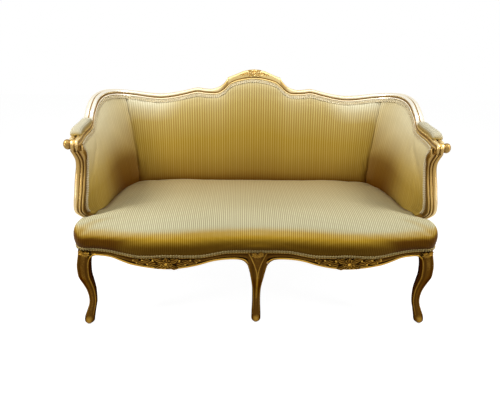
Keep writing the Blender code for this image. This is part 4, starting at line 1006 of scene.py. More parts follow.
    def support(self) -> Piece:
        """The right arm's swept support, with beads down its face, painted shade towards its top and a
        painted highlight low on its outer edge.
        """
        lines = self.lines
        across, deep, mark = np.array(self.support_section).T
        top = lines.head_top(1.0) - 2 * self.scroll_radius + 0.006
        heights = np.linspace(lines.rail_top + CLEAR, lines.head_under(1.0) - CLEAR, 50)
        share = np.minimum((heights - heights[0]) / (top - heights[0]), 1.0)
        side = lines.inward(1.0, heights)
        narrow = 1.0 - 0.12 * ease((share - 0.55) / 0.45)
        neck = 1.0 - 0.72 * ease((heights - top + 0.005) / 0.010)
        lean = self.scroll_reach * 0.1375 * ease((share - 0.62) / 0.38)
        half_deep = ((lines.support_depth / 2 + lean) * neck)[:, None]
        shift = self.curl_shift * ease((share - 0.5) / 0.3) - 0.009 * ease((share - 0.84) / 0.16)
        filled = (0.0105 * ease((share - 0.80) / 0.16))[:, None] * ease((across - 0.5) / 0.4)
        reach = across * (lines.support_width / 2 * narrow)[:, None] + shift[:, None] + filled
        ahead = (deep + 1.0) * half_deep + 0.0005
        rings = lines.wall(1.0, heights)[:, None] + side[:, None] * reach[..., None]
        rings = rings + quarter(side)[:, None] * ahead[..., None]
        # Painted shade: darker towards the top, under the scroll.
        shade = np.interp(share, (0.0, 0.5, 0.72, 0.85, 1.0), (0.24, 0.32, 0.50, 0.62, 0.62))
        piece = Bench.sweep("support", rings, np.clip(mark + shade[:, None], 0.0, 1.0))
        points = Bench.points(piece)
        # Painted highlight on the lower part of the outer edge.
        outer = lines.depth(points, 1.0, points[:, 2])
        low = 1.0 - ease((points[:, 2] - 0.58) / 0.07)
        Bench.paint(piece, "faded", 0.25 * ease((-0.003 - outer) / 0.008) * low)
        return piece

    def build(self) -> None:
        """Makes the rails, arms and supports."""
        near, far, seam = self.crest_joint, self.arm_joint, CLEAR / 2
        crest = self.stretch_of_rail("crest_rail_moulded", seam - near, near - seam, self.crest_station)
        self.dress(crest, LIT_GILT, "crest_rail")
        wing = self.stretch_of_rail("wing", near + seam, far - seam, self.wing_station)
        self.pair(wing, "SIDE_wing_rail_moulded", LIT_GILT, "SIDE_wing_rail")
        self.pair(self.arm(), "SIDE_arm_rail_moulded", LIT_GILT, "SIDE_arm_rail")
        self.pair(self.support(), "SIDE_arm_support_moulded", LIT_GILT, "SIDE_arm_support")


@dataclass(frozen=True)
class LegForm:
    """A cabriole leg's form.

    The shares are rows of height, push forward and widths across and deep.
    """

    shares: Table
    reach: float
    width: float
    outward: float
    square: float
    late: int


@dataclass
class Undercarriage(Assembly):
    """The serpentine front rail and the cabriole legs."""

    knee_width: float = 0.050
    block_width: float = 0.060
    rail_thickness: float = 0.030
    glide_height: float = 0.0043
    toe_height: float = 0.012
    ankle: float = 0.040
    sides: int = 48
    corner: LegForm = LegForm(
        (
            (0.0, 1.24, 0.60), (0.03, 1.26, 0.74), (0.09, 1.14, 0.78), (0.167, 0.80, 0.68),
            (0.254, 0.42, 0.60), (0.337, 0.30, 0.59), (0.448, 0.38, 0.67), (0.558, 0.68, 0.80),
            (0.657, 0.98, 0.93), (0.730, 1.0, 0.96), (0.806, 0.94, 0.98), (0.925, 0.62, 1.0),
            (1.02, 0.41, 1.0),
        ), reach=0.0195, width=0.050, outward=1.0, square=3.0, late=1,
    )
    centre: LegForm = LegForm(
        (
            (0.0, 0.56, 0.46, 0.56), (0.03, 0.58, 0.60, 0.72), (0.09, 0.50, 0.62, 0.76),
            (0.167, 0.26, 0.59, 0.66), (0.254, 0.0, 0.55, 0.57), (0.337, -0.07, 0.55, 0.57),
            (0.448, 0.14, 0.58, 0.65), (0.558, 0.54, 0.70, 0.78), (0.657, 0.88, 0.86, 0.88),
            (0.746, 0.82, 1.05, 0.94), (0.806, 0.71, 1.22, 0.96), (0.90, 0.57, 1.32, 1.04),
            (1.02, 0.36, 1.36, 1.08),
        ), reach=0.028, width=0.060, outward=0.0, square=6.0, late=2,
    )
    leaf_turns: Table = (
        (-90.0, 0.020), (-22.0, 0.026), (-158.0, 0.026), (-56.0, 0.022), (-124.0, 0.022), (2.0, 0.024),
        (178.0, 0.024),
    )

    @property
    def skirt_back(self) -> float:
        """How far behind the cloth's edge the rail's face lies."""
        return self.lines.skirt + 0.0005

    @property
    def block_half(self) -> float:
        """Half of a corner leg's block."""
        return (self.lines.corner_radius - self.skirt_back) * 2 ** (1 / 3 - 0.5) - 0.0003

    def outline(self, square: Array) -> tuple[Array, Array, Array]:
        """Unit rings between a circle and a square, and the bead and grooves along their corners."""
        turn = turns(self.sides, 0.5)
        way, power = xyz(np.cos(turn), np.sin(turn)), square[:, None]
        reach = (np.abs(way[:, 0]) ** power + np.abs(way[:, 1]) ** power) ** (-1 / power)
        off = turn % (math.pi / 2) - math.pi / 4
        return way * reach[..., None], hill(off, 0.0, 0.13), hill(np.abs(off), 0.30, 0.09)

    def section(self, form: LegForm, heights: Array) -> tuple[Array, Array, Array]:
        """A leg's middles, its half widths across and deep, and how square it is, at these heights."""
        lines = self.lines
        key = heights / lines.frame_bottom
        rows = smooth(form.shares, key)
        push = form.reach * rows[:, 0]
        middles = xyz(form.outward * (lines.leg_x + push), lines.leg_y - push, heights)
        halves = xyz(form.width * rows[:, 1], self.knee_width * rows[:, -1]) / 2
        return middles, halves, 2.0 + (form.square - 2.0) * ease(key) ** form.late

    def leg(self, form: LegForm) -> Piece:
        """A cabriole leg from its toe to the block at the rail's top, with painted light on the faces that
        look forward.
        """
        lines = self.lines
        top = lines.frame_bottom + 0.0025 if form.outward else lines.hem_height(0.0) - CLEAR
        foot = self.glide_height + self.toe_height * np.array((0.0, 0.02, 0.09, 0.2, 0.36, 0.56, 0.78, 1.0))
        heights = np.concatenate([foot, np.linspace(foot[-1] + 0.003, top, 72)])
        key = heights[:, None] / lines.frame_bottom
        middles, halves, square = self.section(form, heights)
        ring, bead, groove = self.outline(square)
        strength = ease((key - 0.10) / 0.16) * (1.0 - 0.6 * ease((key - 0.80) / 0.15))
        ring = ring * (1.0 + bead * strength * 0.07 - groove * strength * 0.06)[..., None]
        low = np.clip((heights - heights[0]) / self.toe_height, 0.0, 1.0)
        toe = 0.55 + 0.45 * np.sqrt(1.0 - (1.0 - low) ** 2)
        rings = np.repeat(middles[:, None], self.sides, axis=1)
        rings[..., :2] += ring * (halves * toe[:, None])[:, None]
        # Painted light and shade: faces that look forward, most of all the toe's front, are painted lighter
        # and the sides darker; raised beads are lighter and grooves darker, as worn gilding is.
        proud = np.clip(-np.sin(turns(self.sides, 0.5)), 0.0, 1.0) ** 1.5
        shade = 0.60 - 0.26 * proud - 0.16 * proud * ease((0.13 - key) / 0.05)
        shade = np.clip(shade - 0.14 * bead * strength + 0.3 * groove * strength, 0.0, 1.0)
        block_x = self.block_half if form.outward else self.block_width / 2
        plan = self.outline(np.array([form.square]))[0][0] * (block_x, self.block_half)
        plan = plan + (form.outward * lines.leg_x, lines.leg_y)
        block = [xyz(plan[:, 0], plan[:, 1], height) for height in (top + 0.0002, lines.rail_top)]
        shade = np.concatenate([shade, np.full((2, self.sides), 0.5)])
        return Bench.sweep("leg", np.concatenate([rings, block]), shade, angle=60.0)

    def edge(self, form: LegForm, turn: float, low: float, high: float) -> Array:
        """Points up a leg between two heights, on the side at this turn in degrees."""
        middles, halves, square = self.section(form, np.linspace(low, high, 44))
        way = np.array((math.cos(math.radians(turn)), math.sin(math.radians(turn))))
        size = (np.abs(way) ** square[:, None]).sum(axis=1) ** (-1 / square)
        middles[:, :2] += way * size[:, None] * halves
        return middles

    def bead(self, line: Array, end: float | None = None) -> Piece:
        """A carved bead up a leg's edge, which may sweep on into the rail's bead at a distance across."""
        if end is not None:
            start, lines = line[-1], self.lines
            stop = np.array((end, lines.front_edge(end) - 0.0038, lines.apron_bottom(end) + 0.0046))
            pull = 0.45 * np.linalg.norm(stop - start)
            first = start + unit(start - line[-3]) * pull
            second = stop - np.array((np.sign(end - start[0]) * pull, 0.0, 0.0))
            t = np.linspace(0.05, 1.0, 14)[:, None]
            sweep = (1 - t) ** 3 * start + 3 * (1 - t) ** 2 * t * first
            line = np.concatenate([line, sweep + 3 * (1 - t) * t**2 * second + t**3 * stop])
        line = respaced(line, 0.004)
        ends = np.minimum(lengths(line), lengths(line)[-1] - lengths(line))
        return Bench.tube("bead", line, 0.0010 + 0.0012 * ease(ends / 0.04), 7, 0.24)

    def rail(self) -> Piece:
        """The right half of the front rail: a fillet, a hollow, a swell and a bead on its lower edge."""
        lines = self.lines
        x = np.linspace(self.block_width / 2 + 0.0003, lines.leg_x - 0.012, 130)
        edge, low, top = lines.front_edge(x), lines.apron_bottom(x), lines.hem_height(x)
        middle, upper = (top + low) / 2, lines.rail_top
        fit = np.clip((top - low) / 0.026, 0.4, 1.0)
        face, deep = self.skirt_back, self.skirt_back + self.rail_thickness
        rows = (
            (deep, upper, 0.5), (face, upper, 0.5), (face, top + CLEAR, 0.8), (0.0010, top, 0.8),
            (-0.0012, top - 0.0010 * fit, 0.3), (-0.0020, top - 0.0032 * fit, 0.15),
            (-0.0012, top - 0.0052 * fit, 0.4), (0.0012, top - 0.0062 * fit, 1.0),
            (0.0012, top - 0.0076 * fit, 0.9), (-0.0016, middle + 0.0030 * fit, 0.4), (-0.0036, middle, 0.3),
            (-0.0030, middle - 0.0020 * fit, 0.4), (0.0002, low + 0.0106 * fit, 0.9),
            (0.0006, low + 0.0096 * fit, 1.0), (-0.0016, low + 0.0088 * fit, 0.4),
            (-0.0042, low + 0.0072 * fit, 0.0), (-0.0052, low + 0.0046 * fit, 0.0),
            (-0.0040, low + 0.0020 * fit, 0.0), (-0.0008, low + 0.0003, 0.1), (0.0030, low, 0.3),
            (0.0080, low + 0.0014, 0.6), (deep - 0.008, low + 0.0014, 0.6), (deep, low + 0.008, 0.6),
        )
        rings = np.stack([xyz(x, edge + depth, height) for depth, height, _ in rows], axis=1)
        return Bench.sweep("front_rail", rings, [groove for _, _, groove in rows], angle=55.0)

    def leaves(self, point: Array, out: Array) -> list[Piece]:
        """A small spray of leaves carved where a leg meets the cloth."""
        carver = Carving(self.lines)
        frame = carver.frame_at(point, np.cross(UP, out), UP)
        leaf = carver.leaf()
        groove = np.empty(len(leaf.data.vertices))
        leaf.data.attributes["groove"].data.foreach_get("value", groove)
        Bench.paint(leaf, "groove", 0.6 * groove)
        made = []
        for turn, length in self.leaf_turns:
            size = Matrix.Diagonal((length, length * 0.95, 0.0045, 1.0))
            made.append(Bench.copy(leaf, "leaf", frame @ Matrix.Rotation(math.radians(turn), 4, "Z") @ size))
        bpy.data.objects.remove(leaf, do_unlink=True)
        return made

    def build(self) -> None:
        """Makes the front rail and the three front legs."""
        lines = self.lines
        self.pair(self.rail(), "SIDE_front_rail_moulded", SHADED_GILT, "SIDE_front_rail")
        knee = np.array((lines.leg_x + 0.006, lines.leg_y - 0.040, lines.frame_bottom - 0.006))
        corner = Bench.joined("leg", [
            self.leg(self.corner),
            self.bead(self.edge(self.corner, 225.0, self.ankle, 0.266), lines.leg_x - 0.052),
            self.bead(self.edge(self.corner, 315.0, self.ankle, 0.318)),
            *self.leaves(knee, np.array((0.25, -1.0, 0.0))),
        ])
        self.pair(corner, "front_SIDE_leg_carved", SHADED_GILT, "front_SIDE_leg")
        pieces = [self.leg(self.centre)]
        for side, turn in ((-1.0, 225.0), (1.0, 315.0)):
            pieces.append(self.bead(self.edge(self.centre, turn, self.ankle, 0.245), side * 0.085))
            front = self.edge(self.centre, 270.0, 0.105, 0.318)
            rise = np.linspace(0.0, 1.0, len(front))
            front[:, 0] = side * (0.0016 + 0.031 * np.clip((rise - 0.58) / 0.42, 0.0, 1.0) ** 1.5)
            front[:, 1] += 0.0002
            pieces.append(Bench.tube("bead", front, 0.0008 + 0.0014 * ease(rise / 0.5), 7, 0.16))
        knee = np.array((0.0, lines.leg_y - 0.044, lines.hem_height(0.0) - 0.002))
        pieces += self.leaves(knee, np.array((0.0, -1.0, 0.0)))
        self.dress(Bench.joined("front_centre_leg_carved", pieces), SHADED_GILT, "front_centre_leg")


@dataclass(frozen=True)
class Stuffing:
    """Pressure that swells a pad's cloth, run as a cloth simulation and then fixed in the mesh."""

    most: float
    pressure: float = 4.0
    frames: int = 20

    def swell(self, piece: Piece, held: Array) -> None:
        """Runs the simulation on a closed pad, with its points tacked down by these shares."""
        start = Bench.points(piece)
        group = piece.vertex_groups.new(name="tacked")
        for index in np.flatnonzero(held > 0.01):
            group.add([int(index)], float(held[index]), "REPLACE")
        cloth = piece.modifiers.new("stuffing", "CLOTH")
        cloth.settings.effector_weights.gravity = 0.0
        for key, value in {
            "use_pressure": True, "uniform_pressure_force": self.pressure, "quality": 4, "mass": 0.3,
            "tension_stiffness": 25.0, "compression_stiffness": 25.0, "shear_stiffness": 10.0,
            "bending_stiffness": 4.0, "air_damping": 3.0, "vertex_group_mass": group.name,
        }.items():
            setattr(cloth.settings, key, value)
        cloth.point_cache.frame_start, cloth.point_cache.frame_end = 1, self.frames
        scene = bpy.context.scene
        for frame in range(1, self.frames + 1):
            scene.frame_set(frame)
        move = Bench.points(piece.evaluated_get(bpy.context.evaluated_depsgraph_get())) - start
        move *= self.most / np.hypot(self.most, np.linalg.norm(move, axis=1, keepdims=True))
        piece.modifiers.remove(cloth)
        piece.vertex_groups.remove(group)
        scene.frame_set(1)
        piece.data.vertices.foreach_set("co", (start + move).reshape(-1))
        piece.data.update()
        LOG.info("%s: swelled by up to %.1f mm", piece.name, np.linalg.norm(move, axis=1).max() * 1000)


@dataclass
class Upholstery(Assembly):
    """The pads, their backing cloths and the outside covers."""

    cell: float = 0.010
    voxel: float = 0.0075
    quick_voxel: float = 0.010
    run_height: float = 0.62
    rest_size: float = 0.022
    skirt_rings: Table = (
        (0.0, 0.0), (0.07, 0.28), (0.16, 0.56), (0.28, 0.82), (0.40, 0.97), (0.52, 1.0), (0.64, 0.92),
        (0.75, 0.76), (0.85, 0.52), (0.93, 0.24), (0.985, -0.04),
    )
    crown_rings: Table = (
        (0.008, 0.07), (0.020, 0.16), (0.038, 0.26), (0.062, 0.37), (0.090, 0.47), (0.13, 0.58),
        (0.17, 0.67), (0.22, 0.76), (0.28, 0.84), (0.35, 0.905), (0.43, 0.95), (0.52, 0.98), (0.62, 0.995),
        (0.72, 1.0), (0.82, 1.0), (0.91, 1.0), (0.975, 1.0),
    )

    def slab(
        self, name: str, start: float, end: float, bottom: float,
        face: Callable[[Array, Array], Values], back: float, levels: int,
    ) -> Piece:
        """A closed piece of the wall between a shaped face and a flat back.

        Args:
            name: Name of the piece.
            start: First path share.
            end: Last path share.
            bottom: Height of its foot.
            face: Depth of its face by path share and level.
            back: Depth of its back.
            levels: Stations up its face. A thick pad has a quarter of them up its back.

        Returns:
            The piece.
        """
        lines = self.lines
        path = lines.even(start, end, self.cell, self.run_height)
        level = np.linspace(0.0, 1.0, levels)
        station, rise = path[:, None], (lines.cloth_top(path) - bottom)[:, None]
        height, rear_height = bottom + rise * level, bottom + rise * level[:: -4 if levels > 8 else -1]
        rings = [lines.at(station, height, face(station, level)), lines.at(station, rear_height, back)]
        run = lengths(lines.wall(path, self.run_height))
        middle = np.interp(0.0, path, run) if start < 0 < end else 0.0
        uv = xyz((run - middle)[:, None], np.concatenate([height, rear_height], axis=1))
        return Bench.sweep(name, np.concatenate(rings, axis=1), uv=uv, angle=75.0)

    def walls(self) -> None:
        """The inside back and the two inside wings."""
        lines, seam, fold = self.lines, 0.0001, self.lines.seam_share
        bottom = lines.deck + lines.gap
        back = self.slab("inside_back", seam - fold, fold - seam, bottom, lines.pad_depth, lines.pad_back, 46)
        self.puff(back, Stuffing(most=0.004))
        wing = self.slab("inside_wing", fold + seam, 1.0, bottom, lines.pad_depth, lines.pad_back, 42)
        self.puff(wing, Stuffing(most=0.003))
        pads = [self.dress(back, WALL_SATIN, "back_pad")]
        for piece in pads + self.pair(wing, "SIDE_inside_wing", LIT_WING_SATIN, "SIDE_wing_pad"):
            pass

    def path_of(self, points: Array) -> Array:
        """Path shares of points near the wall."""
        path = np.linspace(-1.0, 1.0, 900)
        tree = KDTree(len(path))
        for index, place in enumerate(self.lines.wall(path, 0.6)):
            tree.insert((place[0], place[1], 0.0), index)
        tree.balance()
        return path[[tree.find((x, y, 0.0))[1] for x, y, _ in points]]

    def puff(self, piece: Piece, stuffing: Stuffing) -> None:
        """Swells a wall pad whose rim and back are tacked down, and paints its cloth with shade low down and
        light high up.
        """
        lines = self.lines
        points = Bench.points(piece)
        share, height = self.path_of(points), points[:, 2]
        level, side = lines.level(share, height), np.abs(share)
        turned = ease((side - 0.50) / 0.06)
        # Painted shade: darker towards the foot of the back and wings and beside the fold between them,
        # lighter towards the wings' front.
        back = np.interp(level, (0.0, 0.05, 0.15, 0.30, 0.50, 0.80), (1.0, 0.88, 0.60, 0.38, 0.18, 0.0))
        wing = (0.0, 0.05, 0.15, 0.33, 0.50, 0.70, 0.85), (1.0, 0.98, 0.93, 0.84, 0.36, 0.04, 0.0)
        fold = 0.62 * (1.0 - ease((side - 0.53) / 0.15)) * np.interp(level, (0.40, 0.85), (1.0, 0.10))
        wing = np.maximum(np.interp(level, *wing), fold) * (1.0 - 0.70 * ease((side - 0.66) / 0.28))
        Bench.paint(piece, "groove", back + (wing - back) * ease((side - 0.49) / 0.06))
        # Painted light: paler towards the top, most at the back's upper corners and high on the wings.
        lit_top = np.interp(level, (0.50, 0.80, 0.93, 1.0), (0.0, 0.12, 0.26, 0.55))
        corner = np.interp(level, (0.70, 0.86, 0.96), (0.0, 0.45, 0.95)) * ease((side - 0.20) / 0.25)
        high = np.interp(height, (0.50, 0.56, 0.62, 0.70, 0.82), (0.0, 0.10, 0.36, 0.66, 0.92))
        high *= 1.0 - 0.40 * (1.0 - ease((side - 0.53) / 0.17))
        corner = corner * (1.0 - turned) + high * turned
        Bench.paint(piece, "faded", np.maximum(lit_top * (1.0 - turned), corner))
        calm = np.interp(level, (0.25, 0.60, 0.85), (0.62, 0.45, 0.05))
        Bench.paint(piece, "calm", np.maximum(calm, 0.72 * ease((side - 0.50) / 0.08)))
        rim = 1.0 - ease((1.0 - level) / 0.07)
        ends = 1.0 - ease(np.minimum((1.0 - side) / 0.02, np.abs(side - lines.seam_share) / 0.025))
        rear = lines.depth(points, share, height) < lines.pad_back + 0.002
        stuffing.swell(piece, np.clip(np.maximum.reduce([rim, ends, rear.astype(float)]), 0.0, 1.0))

    def seat_rows(self) -> tuple[Array, Array]:
        """The right half of the seat's plan and its outward ways, which are nothing where no skirt hangs."""
        lines = self.lines
        x = np.linspace(0.0, lines.leg_x, 66)
        angle = np.radians(np.arange(-82, 1, 8.2))
        round_way = xyz(np.cos(angle), np.sin(angle))
        corner = round_way * lines.corner_radius + (lines.leg_x, lines.leg_y)
        support = lines.wall(1.0, np.linspace(lines.deck, lines.crown, 5))
        stop = support[:, 1].min() - lines.support_depth - 0.0065
        notch = support[:, 0].min() - lines.support_width / 2 - 0.003
        inner = lines.half_seat - lines.skirt
        path = lines.even(1.0, 0.0, 0.011, lines.deck)
        reach = np.zeros(len(path))
        for height in np.linspace(lines.deck, lines.seat_edge, 4):
            face = lines.at(path, height, lines.pad_depth(path, lines.level(path, height)))
            reach = np.maximum(reach, lines.depth(face, path, lines.deck))
        parts = (
            (xyz(x, lines.front_edge(x)), (0.0, -1.0)),
            (corner, round_way),
            (xyz(lines.half_seat, np.linspace(corner[-1, 1], stop, 9)[1:]), (1.0, 0.0)),
            (xyz(inner + (notch - inner) * np.array((0.08, 0.35, 0.65, 1.0)), stop + 0.003), (0.0, 0.0)),
            (lines.at(path, lines.deck, reach + 0.0012)[:, :2], (0.0, 0.0)),
        )
        ways = [np.broadcast_to(way, plan.shape) for plan, way in parts]
        return np.concatenate([plan for plan, _ in parts]), np.concatenate(ways)

    def seat(self) -> Piece:
        """The tight seat: a skirt over the rail, a full rolled edge and a low crown."""
        lines = self.lines
        plan, ways = (np.concatenate([half, (half * MIRROR)[-2:0:-1]]) for half in self.seat_rows())
        skirt = np.linalg.norm(ways, axis=1) > 0.5
        low, under = lines.hem_height(plan[:, 0]) + 0.0005, lines.deck + lines.gap
        middle = np.array((0.0, (plan[0, 1] + plan[len(plan) // 2, 1]) / 2))
        forward = np.clip(-ways[:, 1], 0.0, 1.0)
        edge = lines.seat_edge - np.where(skirt, 0.013 + 0.023 * forward**2, 0.020)
        inner = plan - ways * lines.skirt
        rows = [np.column_stack([inner, np.where(skirt, height, under)]) for height in (under, low)]
        for share, bulge in self.skirt_rings:
            height = low + (edge - low) * share
            height = np.where(skirt, height, np.maximum(height, under))
            rows.append(np.column_stack([plan + ways * (lines.skirt_bulge * bulge), height]))
        for inset, crown in self.crown_rings:
            height = edge + (lines.crown - edge) * crown
            rows.append(np.column_stack([plan + (middle - plan) * inset, height]))
        return Bench.sweep("tight_seat", np.array(rows), angle=180.0)

    def seat_cloth(self) -> None:
        """Remeshes, swells and dresses the seat, and paints its light and shade."""
        lines = self.lines
        piece = self.seat()
        voxel = self.voxel
        Bench.applied(piece, "REMESH", mode="VOXEL", voxel_size=voxel, adaptivity=0.0)
        Bench.applied(piece, "SMOOTH", factor=0.5, iterations=3)
        x, y, z = Bench.points(piece).T
        inner = (np.abs(x) < lines.half_seat - 0.006) & (y > lines.front_edge(x) + 0.006)
        held = np.clip((lines.hem_height(x) + 0.022 - z) / 0.012, 0.0, 1.0)
        Stuffing(most=0.005).swell(piece, np.where(inner & (z < lines.deck + 0.006), 1.0, held))
        Bench.applied(piece, "SMOOTH", factor=0.5, iterations=2)
        Bench.only(piece)
        bpy.ops.object.shade_smooth()
        points, facing = Bench.points(piece), Bench.points(piece, normals=True)[:, 2]
        # Painted light on the faces that look up, less towards the back; painted shade on the end faces, near
        # the wall, on the faces that look down and towards the back.
        flat = ease((facing - 0.44) / 0.42)
        along = np.clip((points[:, 1] - lines.shift) / 0.5, 0.0, 1.0)
        ends = ease((np.abs(points[:, 0]) - 0.36) / 0.18) * (1.0 - ease((facing - 0.25) / 0.45))
        share = self.path_of(points)
        shelter = 1.0 - ease((lines.depth(points, share, lines.deck) - 0.050) / 0.040)
        shelter = np.where(np.abs(share) < 0.97, shelter, 0.0)
        under = 1.0 - ease((facing + 0.04) / 0.62)
        Bench.paint(piece, "faded", (0.88 - 0.34 * along) * flat)
        shades = [0.95 * ends, 0.75 * shelter, 0.78 * under, 0.36 * along * flat]
        Bench.paint(piece, "groove", np.maximum.reduce(shades))
        Bench.paint(piece, "calm", 0.45 * ease((along - 0.10) / 0.3))
        self.dress(piece, SEAT_SATIN, "seat_pad")

    def arm_pads(self) -> None:
        """The padded rests on the arms."""
        lines = self.lines
        path = lines.even(0.785, 0.98, 0.006)
        along = (path - path[0]) / (path[-1] - path[0])
        swell = np.sqrt(np.maximum(1 - (2 * along - 1) ** 6, 0.0))[:, None]
        tall, half = self.rest_size * (0.35 + 0.65 * swell), self.rest_size * (0.80 + 0.20 * swell)
        turn = np.linspace(0.0, math.pi, 21)
        across = -np.sign(np.cos(turn)) * np.abs(np.cos(turn)) ** 0.62
        under = np.linspace(0.8, -0.8, 9)
        reach = half * np.concatenate([across, under])
        over = np.concatenate([np.sin(turn) ** 0.62, np.zeros(len(under))])
        centre, side = lines.wall(path, lines.head_under(path)), lines.inward(path, lines.head_under(path))
        rings = centre[:, None] + side[:, None] * reach[..., None]
        rings[..., 2] = lines.head_top(path)[:, None] + CLEAR + tall * over
        around = np.concatenate([across * 0.03, np.linspace(0.03, -0.03, 9)])
        pad = Bench.sweep("arm_rest", rings, uv=xyz(around, lengths(centre)[:, None]), angle=80.0)
        # Painted light: paler where the pad looks up.
        Bench.paint(pad, "faded", 0.72 * ease((Bench.points(pad, normals=True)[:, 2] + 0.1) / 0.7))
        for piece in self.pair(pad, "SIDE_arm_rest", ARM_SATIN, "SIDE_arm_pad"):
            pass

    def covers(self) -> None:
        """The cloth on the outside of the back and arms."""
        lines = self.lines
        inner, skin = -(lines.rail_thickness / 2 + 0.0008), -(lines.rail_thickness / 2 + 0.0038)
        bottom, edge, seam = lines.frame_bottom + 0.0005, 0.5 - lines.gap / 2, 0.5 + lines.gap / 2
        step = lines.wall(1.0, lines.rail_top) - lines.wall(0.99, lines.rail_top)
        stop = 1.0 - 0.005 / (float(np.linalg.norm(step)) / 0.01)

        def outer(path: Array, level: Array) -> Array:
            """A tight panel that stands a little fuller in its middle."""
            return skin - 0.0015 * np.sin(math.pi * level) ** 0.7

        back = self.slab("outside_back", -edge, edge, bottom, outer, inner, 24)
        arm = self.slab("outside_arm", seam, stop, bottom, outer, inner, 24)
        arm = Bench.joined("outside_arm", [arm, self.rail_strip(stop, skin, inner)])
        backs = [self.dress(back, WALL_SATIN, "outside_back_cover")]
        self.stretched(backs, self.girth(-edge, edge), "rear_centre_leg")
        arms = self.pair(arm, "SIDE_outside_arm", WALL_SATIN, "SIDE_outside_cover")
        self.stretched(arms, self.girth(seam, stop), "rear_centre_leg")

    def rail_strip(self, stop: float, skin: float, inner: float) -> Piece:
        """Cloth over the side rail from the right outside cover's front edge to the seat's skirt."""
        lines = self.lines
        support = lines.wall(1.0, np.linspace(lines.deck, lines.crown, 5))
        front = support[:, 1].min() - lines.support_depth - 0.0062
        count, rings = 12, []
        for height in np.linspace(lines.frame_bottom + 0.0006, lines.rail_top - 0.0006, 7):
            face, rear = lines.at(stop, height, skin), lines.at(stop, height, inner)
            along = np.linspace(face[1] - 0.0004, front, count)
            rings.append(np.concatenate([xyz(face[0], along, height), xyz(rear[0], along[::-1], height)]))
        rings = np.array(rings)
        across = np.linspace(0.0, 0.1, count) + self.girth(0.0, stop, self.run_height)
        uv = xyz(np.concatenate([across, across[::-1]]), rings[..., 2])
        return Bench.sweep("rail_strip", rings, uv=uv, angle=60.0)

    def girth(self, start: float, end: float, height: float = 0.6) -> float:
        """Distance along the wall between two path shares."""
        return float(lengths(self.lines.wall(np.linspace(start, end, 200), height))[-1])

    def build(self) -> None:
        """Makes all the soft pieces."""
        self.walls()
        self.seat_cloth()
        self.arm_pads()
        self.covers()


